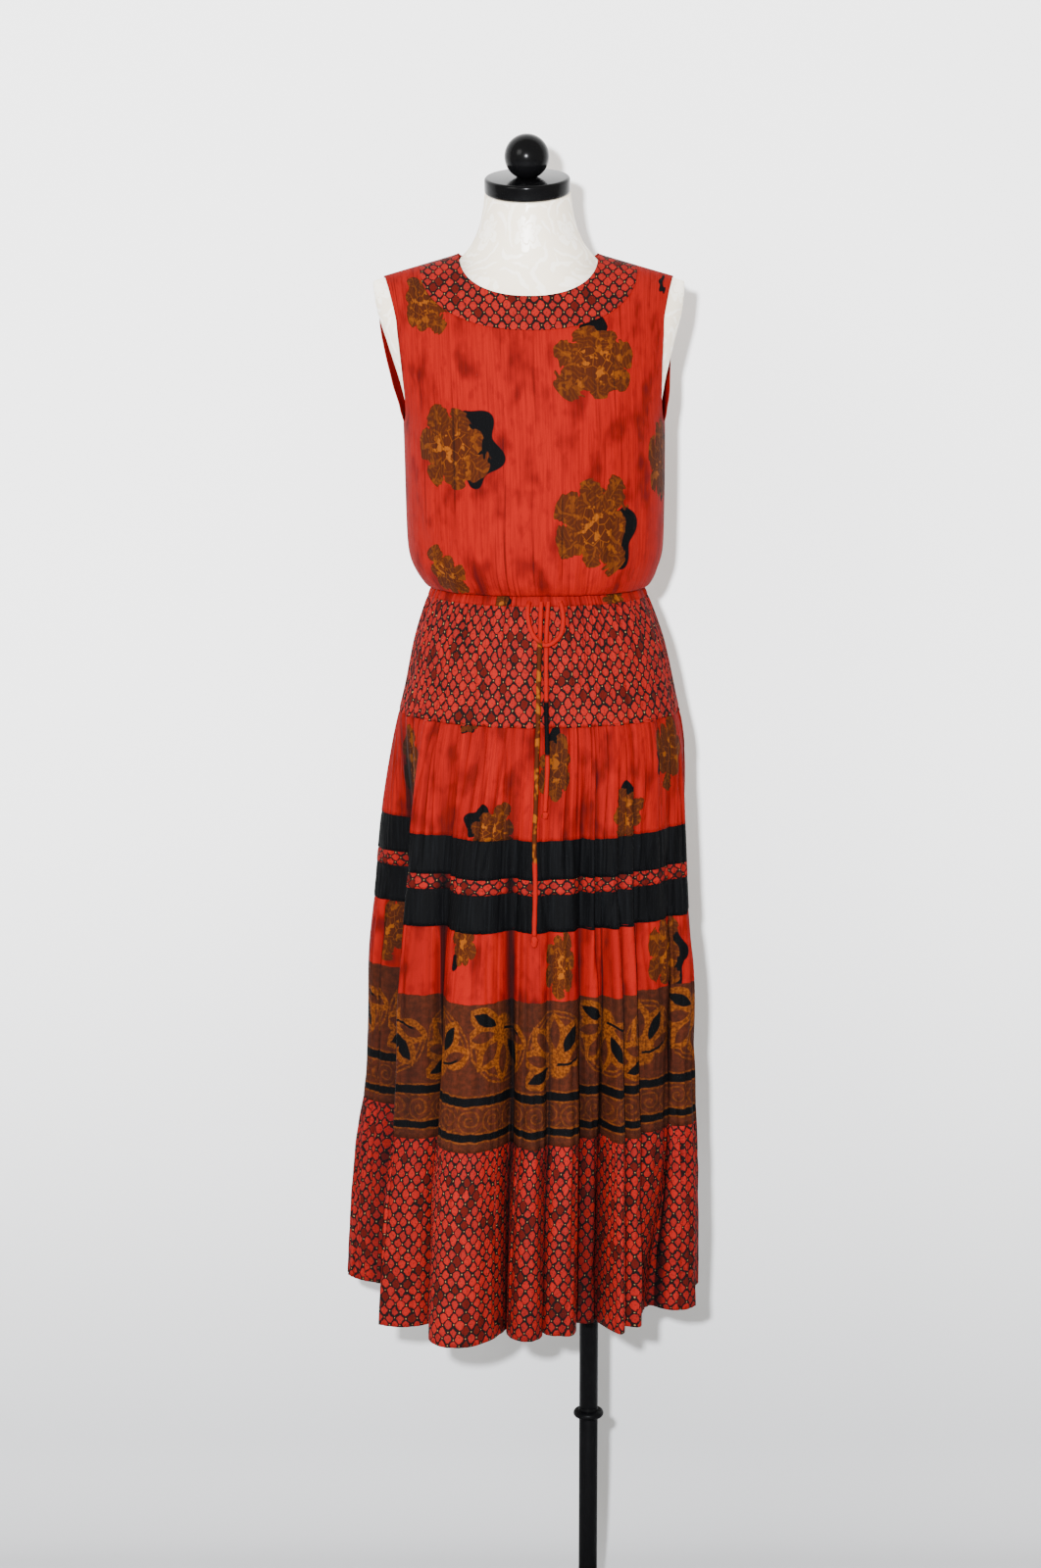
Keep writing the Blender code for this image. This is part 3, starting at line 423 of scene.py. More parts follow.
def buildTier(name, top, bottom, rows, slotName):
    tucked = top + skirt["waistTuck" if name == "waist_casing" else "tuck"]
    heights = [bottom + (tucked - bottom) * row / rows for row in range(rows + 1)]
    for side, start, end in (("front", -90.0, 90.0), ("back", 90.0, 270.0)):
        bearings = panelBearings(start, end)
        middle = runLengths([skirtPoint(bearing, (top + bottom) / 2) for bearing in bearings])

        def place(column, row):
            inset = 0.0007 * smooth((heights[row] - top + 0.006) / 0.006)
            return skirtPoint(bearings[column], heights[row], inset)

        # how deep in a fold a place lies, and how deep in a crease, which set the painted shade in folds and
        # creases
        def depthAt(column, row):
            _, out, low = foldedAt(bearings[column], heights[row])
            return (max(smooth((-0.006 - out) / 0.040) * 0.70, low),
                    max(0.0, -clothRelief(bearings[column], heights[row])) * 180)

        piece = clothSheet(f"{name}_{side}", skirt["columns"], rows, place,
                           lambda column, row: (middle[column], heights[row]), skirt["cloth"], depthAt)
        clothPieces[f"{name}_{side}"] = (piece, (middle[-1] - middle[0], tucked - bottom), slotName)


def centreAt(height):
    return between(bodice["centre"], height, 1)


def shoulderHeight(across):
    height = bodice["neckHeight"] - bodice["slope"] * (abs(across) - bodice["neckHalf"])
    if abs(across) < bodice["neckRiseHalf"]:
        height += bodice["neckRise"] * (1 - (across / bodice["neckRiseHalf"]) ** 2) ** 2
    return height


# How far under the neck band a place on the shoulder is, from 0 to 1
def underBand(across):
    return min(max((form["tipRest"] - abs(across)) / (form["tipRest"] - bodice["bandHalf"]), 0.0), 1.0)


# How far the form's shoulder lies below the cloth's
def ridgeInset(across):
    return form["tipInset"] + (form["bandInset"] - form["tipInset"]) * underBand(across)


# Depth of the worn bodice at a place, or of the form, which is inset in it
def bodyDepth(across, height, side, inset=0.0):
    half = between(bodice["body"], height, 1) - inset
    depth = between(bodice["body"], height, 2 if side == "front" else 3) - inset
    inside = max(0.0, 1 - abs(across / half) ** bodice["power"])
    dome = 1.0
    if height > bodice["domeStart"]:
        top = shoulderHeight(across) - (ridgeInset(across) if inset else 0.0)
        rise = min(1.0, (height - bodice["domeStart"]) / (top - bodice["domeStart"]))
        dome = math.sqrt(1 - rise**2)
        dome *= 1 - form["thinning"] * (1 + underBand(across)) * rise**4 if inset else 1.0
    return depth * inside ** (1 / bodice["power"]) * dome


def bodyPoint(across, height, side, out=0.0):
    facing = -1 if side == "front" else 1
    return Vector((centreAt(height) + across, facing * (bodyDepth(across, height, side) + out), height))


# A line round the neck between the band's two edges: its half width, its drop and its highest point
def neckLine(share, side):
    neckDrop, bandDrop = bodice["drops"][side]
    half = bodice["neckHalf"] + (bodice["bandHalf"] - bodice["neckHalf"]) * share
    return (half, neckDrop + (bandDrop - neckDrop) * share,
            bodice["neckHeight"] - bodice["slope"] * (half - bodice["neckHalf"]))


def neckCurve(turn, share, side):
    half, drop, top = neckLine(share, side)
    power = 2 / bodice["neckPower"]
    across = half * abs(math.sin(turn)) ** power * (1 if turn > 0 else -1)
    return across, top - drop * max(0.0, math.cos(turn)) ** power


def panelHalf(height, side, share=-1.0):
    column = 1 if side == "front" else 2 if share < 0 else 3
    return between(bodice["armhole"], height, column)


# Columns of a bodice panel: share of its half width, and the height where it ends, just under the neck band
def bodiceColumns(side):
    columns = []
    half, drop, neckTop = neckLine(bodice["underBand"], side)
    for number in range(bodice["columns"] + 1):
        turn = math.pi * (number / bodice["columns"] - 0.5)
        share = math.copysign(abs(math.sin(turn)) ** 0.95, turn)
        height = bodice["neckHeight"]
        for _ in range(30):
            across = abs(share) * panelHalf(height, side, share)
            if across < half:
                cosine = math.sqrt(max(0.0, 1 - (across / half) ** bodice["neckPower"]))
                height = neckTop - drop * cosine ** (2 / bodice["neckPower"])
            else:
                height = shoulderHeight(across)
        columns.append((share, height))
    return columns


# How far up the cloth a place is from the start of the shoulders' rounding
def upCloth(across, height, side):
    start, steps = bodice["domeStart"], 8
    if height <= start:
        return height - start
    heights = [start + (height - start) * step / steps for step in range(steps + 1)]
    depths = [bodyDepth(across, step, side) for step in heights]
    return sum(math.hypot(heights[i + 1] - heights[i], depths[i + 1] - depths[i]) for i in range(steps))


def bodiceRelief(across, height, side):
    low = smooth((1.40 - height) / 0.09)
    gathers = noise.noise(Vector((across * 62, height * 5, 4 if side == "front" else 40)))
    loose = noise.noise(Vector((across * 17, height * 9, 9 if side == "front" else 27)))
    relief = 0.0034 * low * gathers + 0.0028 * loose * smooth((1.60 - height) / 0.1)
    for panel, fromX, fromZ, toX, toZ, depth, half in bodiceCreases:
        if panel != side:
            continue
        run = Vector((toX - fromX, toZ - fromZ))
        away = Vector((across - fromX, height - fromZ))
        share = away.dot(run) / run.length_squared
        if 0 < share < 1:
            aside = abs(away.x * run.y - away.y * run.x) / run.length
            if aside < half * 3:
                fading = smooth(share * 4) * smooth((1 - share) * 4)
                relief -= depth * math.exp(-(aside / half) ** 2) * fading
    return relief


def buildBodice(side):
    columns = bodiceColumns(side)
    if side == "back":
        columns.reverse()
    facing = -1 if side == "front" else 1
    depthColumn = 3 if side == "front" else 4
    low, high = bodice["lowRows"], bodice["highRows"]
    lastRow = len(bodice["sections"]) - 1
    table = [(number, *row) for number, row in enumerate(bodice["sections"])]

    def place(column, row):
        share, top = columns[column]
        if row <= low:
            stage = lastRow * (row / low) ** bodice["bunching"]
            height, half = between(table, stage, 1), between(table, stage, 2)
            reach = max(0.0, 1 - abs(share) ** bodice["power"]) ** (1 / bodice["power"])
            edge = smooth((1 - abs(share)) * 12)
            out = bodiceRelief(share * half, height, side) * smooth(stage - 0.6) * edge
            depth = between(table, stage, depthColumn) * reach
            return Vector((centreAt(height) + share * half, facing * (depth + out), height))
        part = math.sin(math.pi / 2 * ((row - low) / high)) ** bodice["closing"]
        height = bodice["underarm"] + (top - bodice["underarm"]) * part
        across = share * panelHalf(height, side, share)
        edge = smooth((1 - abs(share)) * 12) * smooth((1 - part) * 6)
        return bodyPoint(across, height, side, bodiceRelief(across, height, side) * edge)

    middle = runLengths([place(column, round(low * 0.9)) for column in range(len(columns))])
    centre = [place(len(columns) // 2, row) for row in range(low + high + 1)]
    tall = walkedAlong(centre)
    dome = bodice["mapFoot"] + tall[low] + bodice["domeStart"] - bodice["underarm"]

    def mapAt(column, row):
        if row <= low:
            return middle[column], bodice["mapFoot"] + tall[row]
        point = place(column, row)
        across = point.x - centreAt(point.z)
        spread = panelHalf(point.z, side, across) / bodice["sections"][-1][1]
        return middle[column] * spread, dome + upCloth(across, point.z, side)

    piece = clothSheet(f"bodice_{side}", len(columns) - 1, low + high, place, mapAt, bodice["cloth"])
    clothPieces[f"bodice_{side}"] = (piece, (middle[-1] - middle[0], tall[-1] + 0.02), "red_flower_cloth")


def buildNeckBand(side):
    count, rows = bodice["bandColumns"], bodice["bandRows"]
    turns = [-math.pi / 2 + math.pi * number / count for number in range(count + 1)]
    if side == "back":
        turns.reverse()

    def place(column, row):
        across, height = neckCurve(turns[column], 1 - row / rows, side)
        return bodyPoint(across, height, side, 0.0012)

    def mapAt(column, row):
        across, height = neckCurve(turns[column], 1 - row / rows, side)
        return across, upCloth(across, height, side)

    middle = runLengths([place(column, rows // 2) for column in range(count + 1)])
    wide = bodice["bandHalf"] - bodice["neckHalf"]
    piece = clothSheet(f"neck_band_{side}", count, rows, place, mapAt, bodice["cloth"])
    clothPieces[f"neck_band_{side}"] = (piece, (middle[-1] - middle[0], wide), "pebble_cloth")


for tierRow in tiers:
    buildTier(*tierRow)
for side in ("front", "back"):
    buildBodice(side)
    buildNeckBand(side)
print("cloth panels:", len(clothPieces))


# The result of a shader node, so that a material's sums are written as sums
class nodeValue:
    def __init__(self, tree, socket):
        self.tree, self.socket = tree, socket

    __add__ = __radd__ = lambda self, other: calc("ADD", self, other)
    __sub__ = lambda self, other: calc("SUBTRACT", self, other)
    __rsub__ = lambda self, other: calc("SUBTRACT", other, self)
    __mul__ = lambda self, other: calc("MULTIPLY", self, other)
    __truediv__ = lambda self, other: calc("DIVIDE", self, other)
    __pow__ = lambda self, other: calc("POWER", self, other)
    __mod__ = lambda self, other: calc("FLOORED_MODULO", self, other)
    __lt__ = lambda self, other: calc("LESS_THAN", self, other)
    __gt__ = lambda self, other: calc("GREATER_THAN", self, other)
    __abs__ = lambda self: calc("ABSOLUTE", self)
    __floor__ = lambda self: calc("FLOOR", self)
    __round__ = lambda self: calc("ROUND", self)


# Gives a socket a number, a colour or another node's result
def feed(socket, value):
    if isinstance(value, nodeValue):
        value.tree.links.new(value.socket, socket)
    else:
        socket.default_value = (*value, 1) if isinstance(value, tuple) else value


# Adds a shader node, sets it up, feeds its inputs and gives one of its results
def addNode(tree, kind, inputs, output=0, **settings):
    node = tree.nodes.new("ShaderNode" + kind)
    for name, value in settings.items():
        setattr(node, name, value)
    for name, value in inputs.items():
        feed(node.inputs[name], value)
    return nodeValue(tree, node.outputs[output])


def calc(kind, *values):
    tree = next(value.tree for value in values if isinstance(value, nodeValue))
    return addNode(tree, "Math", dict(enumerate(values)), operation=kind)


def blendColour(share, one, two):
    return addNode(share.tree, "Mix", {0: share, 6: one, 7: two}, 2, data_type="RGBA")


# From 0 at one value, smoothly, to 1 at another
def edgeStep(value, low, high):
    return addNode(value.tree, "MapRange", {"Value": value, "From Min": low, "From Max": high},
                   interpolation_type="SMOOTHSTEP")


def within(value, low, high, soft):
    return edgeStep(value, low, low + soft) * edgeStep(value, high, high - soft)


def joined(x, y):
    return addNode(x.tree, "CombineXYZ", {0: x, 1: y})


def parted(place, *numbers):
    return [addNode(place.tree, "SeparateXYZ", {0: place}, number) for number in numbers]


def noiseAt(place, scale, detail=2.0, rough=0.5):
    return addNode(place.tree, "TexNoise",
                   {"Vector": place, "Scale": scale, "Detail": detail, "Roughness": rough}, "Fac")


# Noise drawn out along the cloth
def streaks(u, v, wide, tall, detail=2.0, rough=0.5):
    return noiseAt(joined(u * wide, v * tall), 1.0, detail, rough)


def chance(x, y):
    return addNode(x.tree, "TexWhiteNoise", {"Vector": joined(x, y)}, "Value", noise_dimensions="2D")


def distance(x, y):
    return calc("SQRT", x * x + y * y)


def largest(values):
    return functools.reduce(lambda one, two: calc("MAXIMUM", one, two), values)


# The number of the repeat that a value is in, and how far it is from that repeat's middle
def repeated(value, span):
    number = math.floor(value / span)
    return number, (value / span - number - 0.5) * span


# A place on one of a piece's own maps, whole and in its two parts
def mapParts(tree, name):
    place = addNode(tree, "UVMap", {}, uv_map=name)
    return place, *parted(place, 0, 1)


def objectPlace(tree):
    return addNode(tree, "TexCoord", {}, "Object")


def newMaterial(name, roughness=0.8):
    material = bpy.data.materials.new(name)
    material.use_nodes = True
    shader = material.node_tree.nodes["Principled BSDF"]
    shader.inputs["Roughness"].default_value = roughness
    return material, material.node_tree, shader


def addBump(shader, height, strength, distance):
    inputs = {"Strength": strength, "Distance": distance, "Height": height}
    feed(shader.inputs["Normal"], addNode(height.tree, "Bump", inputs))


# Crinkled rayon: fine upright crinkles and a plain weave, as bump on the cloth map
def crinkle(shader, u, v, strength=0.8):
    lines = streaks(u, v, 420, 16, 3.0, 0.6)
    height = lines * 0.5 + streaks(u, v, 130, 7) * 0.9 + streaks(u, v, 1500, 1500, 1.0) * 0.12
    addBump(shader, height, strength, 0.0012)
    shader.inputs["Specular IOR Level"].default_value = 0.05
    return lines


dyes = {
    "red": (0.190, 0.0032, 0.0018), "redDeep": (0.070, 0.0016, 0.0016), "redLight": (0.205, 0.0060, 0.0042),
    "cellRed": (0.152, 0.0062, 0.0052), "cellDull": (0.0539, 0.002965, 0.001775),
    "pebbleDark": (0.0052, 0.0026, 0.0026), "cream": (0.220, 0.130, 0.050),
    "brown": (0.036, 0.0068, 0.0014), "brownDark": (0.024, 0.0055, 0.0021), "ochre": (0.150, 0.037, 0.0022),
    "black": (0.0008, 0.0009, 0.0012), "blackRidgeHighlight": (0.0022, 0.0026, 0.0032),
    "borderBrown": (0.044, 0.0084, 0.0031), "gold": (0.122, 0.0300, 0.0030),
    "goldDeep": (0.050, 0.0112, 0.0011),
}


# Painted shade: colour darkened towards black in the depth of folds and creases, and in thin lines along the
# fine gathers
def paintedFoldShade(colour, u, v, gatherShade):
    _, deep, crease = mapParts(u.tree, "depth")
    dark = calc("MAXIMUM", deep * 0.93, calc("MINIMUM", crease, 1.0) * 0.55)
    lines = streaks(u, v, 190, 5, 2.0, 0.55)
    run = edgeStep(lines, 0.56, 0.72) * edgeStep(streaks(u, v, 48, 2.5, 1.0), 0.30, 0.62)
    return blendColour(calc("MAXIMUM", dark, run * gatherShade), colour, dyes["black"])


# Mottled red ground
def redGround(u, v):
    tall = joined(u * 1.45, v * 0.8)
    base = blendColour(edgeStep(noiseAt(tall, 23), 0.48, 0.74), dyes["red"], dyes["redDeep"])
    return blendColour(edgeStep(noiseAt(tall, 66), 0.52, 0.72) * 0.35, base, dyes["redDeep"])


flowerRings = (
    # petals, turn of the ring, shortest petal, how much longer the longest is, breadth, ochre patches
    (7, 0.15, 0.74, 0.38, 0.50, 0.30),
    (5, 0.62, 0.52, 0.24, 0.47, 0.60))


# One ring of broad pointed petals round a flower: its mask, and how far along and across each petal
def petalRing(angle, radius, seed, count, phase, shortest, spread, broad):
    turn = angle * count + phase
    cell = math.floor(turn)
    across = abs(turn - cell - 0.5)
    along = radius / (chance(cell % count, seed + phase * 7) * spread + shortest)
    body = along ** 0.4 * calc("MAXIMUM", 1.0 - along, 0.0) ** 0.45
    teeth = calc("SINE", radius * 58) * 0.03
    mask = edgeStep(body * (2.05 * broad) + teeth - across, 0.0, 0.03)
    return mask * (along < 0.99), along, across


# A full flower with its dark shadow shape, drawn over a ground colour
def flowerPrint(ground):
    bloom, x0, y0 = mapParts(ground.tree, "bloom")
    seed, shadow = round(x0 / bloomSpan), round(y0 / bloomSpan)
    x, y = x0 - seed * bloomSpan, y0 - shadow * bloomSpan
    cloth, _, _ = mapParts(ground.tree, "cloth")
    wobble = (noiseAt(cloth, 55, 1.0) - 0.5) * 0.75
    radius = distance(x, y)
    plainAngle = calc("ARCTAN2", y, x) / (2 * math.pi)
    angle = plainAngle + wobble * 0.16
    # the black shape: a wavy crescent at one side, tapering to its ends
    share = plainAngle / (shadow * 0.06 + 0.004)
    bow = calc("SQRT", calc("MAXIMUM", 1.0 - share * share, 0.0))
    waves = calc("SINE", plainAngle * 46 + seed * 1.7) * 0.13
    limit = bow * 0.3 + 0.78 + waves * bow
    shade = edgeStep(limit - radius, 0.0, 0.025) * edgeStep(bow, 0.05, 0.20) * (shadow > 0.5)
    colour = blendColour(shade * (radius > 0.5), ground, dyes["black"])
    whole = shadow < 3.5
    patch = edgeStep(noiseAt(cloth, 85, 2.0, 0.6), 0.54, 0.60)
    for *ring, rich in flowerRings:
        mask, along, across = petalRing(angle, radius, seed, *ring)
        comb = edgeStep(calc("SINE", radius * 58 - across * 22), 0.30, 0.80) * edgeStep(across, 0.04, 0.12)
        vein = edgeStep(0.06 - across, 0.0, 0.03)
        rim = edgeStep(across, 0.40, 0.49) * edgeStep(along, 0.72, 0.60)
        petal = blendColour(largest((comb * 0.14, vein * 0.30, rim * 0.35)), dyes["brown"], dyes["ochre"])
        petal = blendColour(patch * rich, petal, dyes["ochre"])
        colour = blendColour(mask * whole, colour, petal)
    cells = addNode(ground.tree, "TexVoronoi", {"Scale": 4.2, "Vector": bloom}, "Distance",
                    feature="DISTANCE_TO_EDGE")
    heart = blendColour(edgeStep(cells, 0.01, 0.05) * 0.55 + 0.45, dyes["ochre"], dyes["brown"])
    heart = blendColour(patch, heart, dyes["ochre"])
    middle = edgeStep(wobble * 0.6 + 0.4 - radius, 0.0, 0.03)
    return blendColour(middle * whole, colour, heart)


def redClothMaterial():
    material, tree, shader = newMaterial("redFlowerCloth")
    _, u, v = mapParts(tree, "cloth")
    lines = crinkle(shader, u, v)
    # Painted shade: the crinkles' troughs darkened towards black
    shaded = blendColour(edgeStep(lines, 0.60, 0.38) * 0.22, flowerPrint(redGround(u, v)), dyes["black"])
    feed(shader.inputs["Base Color"], paintedFoldShade(shaded, u, v, 0.55))
    return material


# Rounded red cells in an upright diamond lattice, dark between them, a cream dot at the crossings
def pebblePrint(cloth, u, v, wide, tall):
    warp = (noiseAt(cloth, 120, 1.0) - 0.5) * 0.42
    across, up = u / wide, v / tall
    cellA, alongA = repeated(across + up + warp, 1.0)
    cellB, alongB = repeated(across - up - warp * 0.8, 1.0)
    size = chance(cellA, cellB)
    mottle = noiseAt(cloth, 420)
    shiftA = (chance(cellA + 31.0, cellB) - 0.5) * 0.11
    shiftB = (chance(cellA, cellB + 57.0) - 0.5) * 0.11
    span = (abs(alongA + shiftA) ** 3.6 + abs(alongB + shiftB) ** 3.6) ** (1 / 3.6)
    cell = edgeStep(size * 0.06 + 0.38 + (mottle - 0.5) * 0.30 - span, -0.01, 0.035)
    bright = blendColour(edgeStep(size, 0.1, 0.9), dyes["cellRed"], dyes["redLight"])
    bright = blendColour(edgeStep(mottle, 0.50, 0.72) * 0.6, bright, dyes["redDeep"])
    bright = blendColour(chance(cellB, cellA) > 0.90, bright, dyes["cellDull"])
    colour = blendColour(cell, dyes["pebbleDark"], bright)
    dot = edgeStep(0.082 - distance(0.5 - abs(alongA), 0.5 - abs(alongB)), 0.0, 0.03)
    return blendColour(dot * 0.85, colour, dyes["cream"])


def pebbleMaterial(name, wide, tall):
    material, tree, shader = newMaterial(name)
    cloth, u, v = mapParts(tree, "cloth")
    crinkle(shader, u, v)
    feed(shader.inputs["Base Color"], paintedFoldShade(pebblePrint(cloth, u, v, wide, tall), u, v, 0.30))
    return material


def blackMaterial():
    material, tree, shader = newMaterial("blackCloth", 0.75)
    _, u, v = mapParts(tree, "cloth")
    # Painted highlight: the crinkles' ridges drawn paler than the black
    ridgeHighlight = edgeStep(crinkle(shader, u, v, 0.7), 0.45, 0.75)
    feed(shader.inputs["Base Color"], blendColour(ridgeHighlight, dyes["black"], dyes["blackRidgeHighlight"]))
    return material


border = {
    "top": 0.852, "repeat": 0.094, "middle": 0.800, "stripes": ((0.747, 0.736), (0.705, 0.696)),
    # a leaf's turn from upright, its distance from the fan's foot, half length, half width, black or not
    "leaves": (
        (-78, 0.031, 0.016, 0.0066, 0), (-40, 0.034, 0.017, 0.0072, 0), (-4, 0.035, 0.0175, 0.0062, 0),
        (30, 0.035, 0.018, 0.0072, 1), (-114, 0.03, 0.017, 0.0068, 1), (68, 0.03, 0.015, 0.0062, 0)),
    "foot": -0.021, "halo": 0.0080, "scroll": 0.026,
    "arcs": (0.0455, 0.0400), "arcRise": 0.016, "trim": 0.0022, "soft": 0.0008,
}


# Distance to a leaf: below 1 inside it
def leafSpan(x, y, turn, away, halfLong, halfWide, grow):
    angle = math.radians(turn)
    along = (x * math.sin(angle) + y * math.cos(angle) - away) / (halfLong + grow)
    across = (x * math.cos(angle) - y * math.sin(angle)) / (halfWide + grow)
    return along * along + abs(across)


def borderMaterial():
    material, tree, shader = newMaterial("borderCloth")
    cloth, u, v = mapParts(tree, "cloth")
    wobble = (noiseAt(cloth, 70) - 0.5) * 0.004
    across, up = u + wobble, v + wobble
    mottle = edgeStep(noiseAt(cloth, 160, 3.0, 0.6), 0.35, 0.7)
    ground = blendColour(mottle, dyes["brownDark"], dyes["borderBrown"])
    gold = blendColour(edgeStep(noiseAt(cloth, 300), 0.35, 0.65), dyes["goldDeep"], dyes["gold"])
    # fans of leaves, every second one upside down
    number, x = repeated(across, border["repeat"])
    y = (up - border["middle"]) * (1.0 - number % 2.0 * 2.0) - border["foot"]
    halos, brownLeaves, blackLeaves = [edgeStep(distance(x, y), 0.018, 0.014)], [], []
    for *leaf, isBlack in border["leaves"]:
        halos.append(edgeStep(leafSpan(x, y, *leaf, border["halo"]), 1.05, 0.95))
        (blackLeaves if isBlack else brownLeaves).append(edgeStep(leafSpan(x, y, *leaf, 0.0), 1.10, 0.90))
    arcY = y - border["arcRise"]
    colour = ground
    for radius in border["arcs"]:
        line = edgeStep(abs(distance(x, arcY) - radius), 0.0016, 0.0008) * edgeStep(arcY, -0.012, 0.002)
        colour = blendColour(line * 0.65, colour, gold)
    colour = blendColour(largest(halos), colour, gold)
    colour = blendColour(largest(brownLeaves), colour, ground)
    colour = blendColour(largest(blackLeaves), colour, dyes["black"])
    stem = edgeStep(abs(y - x * x * 8.0), 0.0019, 0.0011)
    stem = stem * edgeStep(x, 0.0, 0.002) * edgeStep(x, 0.034, 0.030)
    colour = blendColour(stem, colour, dyes["black"])
    # the scroll row between the two black stripes
    (top, rowTop), (rowLow, _) = border["stripes"]
    _, scrollX = repeated(across, border["scroll"])
    scrollY = up - (rowTop + rowLow) / 2
    coil = calc("SINE", distance(scrollX, scrollY) * 900 - calc("ARCTAN2", scrollY, scrollX))
    colour = blendColour(edgeStep(up, top + 0.0015, top - 0.0005), colour, ground)
    scroll = blendColour(edgeStep(coil, 0.35, 0.9) * 0.40, ground, gold)
    colour = blendColour(within(up, rowLow, rowTop, border["soft"]), colour, scroll)
    for high, low in border["stripes"]:
        trim = within(up, low - border["trim"], high + border["trim"], border["soft"])
        colour = blendColour(trim * 0.6, colour, gold)
        colour = blendColour(within(up, low, high, border["soft"]), colour, dyes["black"])
    flowers = flowerPrint(redGround(u, v))
    colour = blendColour(edgeStep(up, border["top"] - 0.0006, border["top"] + 0.0006), colour, flowers)
    feed(shader.inputs["Base Color"], paintedFoldShade(colour, u, v, 0.42))
    crinkle(shader, u, v)
    return material


damask = {"around": 7, "tall": 0.062, "ground": (0.87, 0.765, 0.60), "figure": (1.0, 0.93, 0.80)}


# Ivory damask: satin flowers and leaves on a slightly duller ground, seven flowers to a row round the form
def damaskMaterial():
    material, tree, shader = newMaterial("ivoryDamask", 0.5)
    _, u, v = mapParts(tree, "cloth")
    row, y = repeated(v / damask["tall"], 1.0)
    _, x = repeated(u * damask["around"] + row * 0.5, 1.0)
    place = objectPlace(tree)
    wobble = noiseAt(place, 42) - 0.5
    radius = distance(x, y)
    angle = calc("ARCTAN2", y, x) + wobble * 2.4
    limit = abs(calc("SINE", angle * 3)) * 0.16 + 0.17 + wobble * 0.22
    flower = edgeStep(limit - radius, 0.0, 0.02) * edgeStep(abs(radius - limit * 0.55), 0.008, 0.016)
    leaves = edgeStep(calc("SINE", angle * 5 + radius * 26), 0.45, 0.70) * edgeStep(radius, 0.36, 0.40)
    figure = calc("MAXIMUM", flower, leaves)
    feed(shader.inputs["Base Color"], blendColour(figure, damask["ground"], damask["figure"]))
    feed(shader.inputs["Roughness"], 0.60 - figure * 0.26)
    addBump(shader, figure * 0.6 + noiseAt(place, 1400, 1.0) * 0.4, 0.35, 0.0005)
    return material


def glossBlack(name, roughness, scale, shine):
    material, tree, shader = newMaterial(name, roughness)
    wear = noiseAt(objectPlace(tree), scale, 4.0, 0.6)
    feed(shader.inputs["Base Color"], blendColour(wear, (0.0012, 0.0012, 0.0014), (0.0030, 0.0030, 0.0033)))
    feed(shader.inputs["Roughness"], wear * 0.10 + roughness)
    shader.inputs["Specular IOR Level"].default_value = shine
    addBump(shader, wear, 0.08, 0.0004)
    return material


# The tie is cut from the flower cloth: brown and ochre above, then red with a black stretch
def tieMaterial():
    material, tree, shader = newMaterial("tieCloth")
    place = objectPlace(tree)
    x, z = parted(place, 0, 2)
    bias = calc("SINE", z * 300 + x * 420) * 0.05
    blot = edgeStep(noiseAt(place, 64, 2.0, 0.6) + bias, 0.50, 0.60)
    brown = blendColour(blot, dyes["brown"], dyes["ochre"])
    onLong = x < tie["parting"]
    colour = blendColour(within(z, *tie["brownPart"], 0.006) * onLong, dyes["red"], brown)
    colour = blendColour(within(z, *tie["blackPart"], 0.004) * (1.0 - onLong), colour, dyes["black"])
    shader.inputs["Specular IOR Level"].default_value = 0.05
    feed(shader.inputs["Base Color"], colour)
    addBump(shader, noiseAt(place, 520, 3.0, 0.6), 0.5, 0.0006)
    return material


looks = {
    "red_flower_cloth": redClothMaterial(),
    "pebble_cloth": pebbleMaterial("pebbleCloth", 0.0125, 0.0165),
    "black_cloth": blackMaterial(),
    "border_cloth": borderMaterial(),
    "ivory_damask": damaskMaterial(),
    "black_lacquer": glossBlack("blackLacquer", 0.14, 30, 0.06),
    "pole_black": glossBlack("poleBlack", 0.30, 60, 0.03),
}
stripPebble = pebbleMaterial("pebbleStrip", 0.0150, 0.0120)
tieLook = tieMaterial()
print("materials:", len(bpy.data.materials))


def carry(piece, nodes, material):
    piece.data.materials.clear()
    piece.data.materials.append(material)
    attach(piece, "root")
    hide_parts(*nodes)
    return piece


for name, (piece, flat, slotName) in clothPieces.items():
    material = stripPebble if name.startswith("pebble_strip") else looks[slotName]
    carry(piece, [name], material)


def meshPiece(name, shape):
    bmesh.ops.recalc_face_normals(shape, faces=shape.faces)
    mesh = bpy.data.meshes.new(name)
    shape.to_mesh(mesh)
    shape.free()
    mesh.shade_smooth()
    mesh.set_sharp_from_angle(angle=math.radians(42))
    return newObject(name, mesh)


# The form's body, ring by ring on a grid closed round
def formRing(height):
    centre = centreAt(height)
    points = []
    upper = form["torso"][-1][0] < height < form["neck"][0][0]
    inset = form["inset"] + between(form["armhole"], height, 1)
    if upper:
        half = between(bodice["body"], height, 1) - inset
        low, high = bodice["neckHalf"], half
        for _ in range(30):
            across = (low + high) / 2
            if shoulderHeight(across) - ridgeInset(across) > height:
                low = across
            else:
                high = across
        half = min(half, low)
    for number in range(form["columns"]):
        angle = 2 * math.pi * number / form["columns"]
        side = "front" if math.cos(angle) > 0 else "back"
        if upper:
            across = half * math.sin(angle)
            depth = bodyDepth(across, height, side, inset)
        else:
            table = form["torso"] if height <= form["torso"][-1][0] else form["neck"]
            across = between(table, height, 1) * math.sin(angle)
            depth = between(table, height, 2 if side == "front" else 3) * abs(math.cos(angle))
        points.append(Vector((centre + across, -depth if side == "front" else depth, height)))
    return points


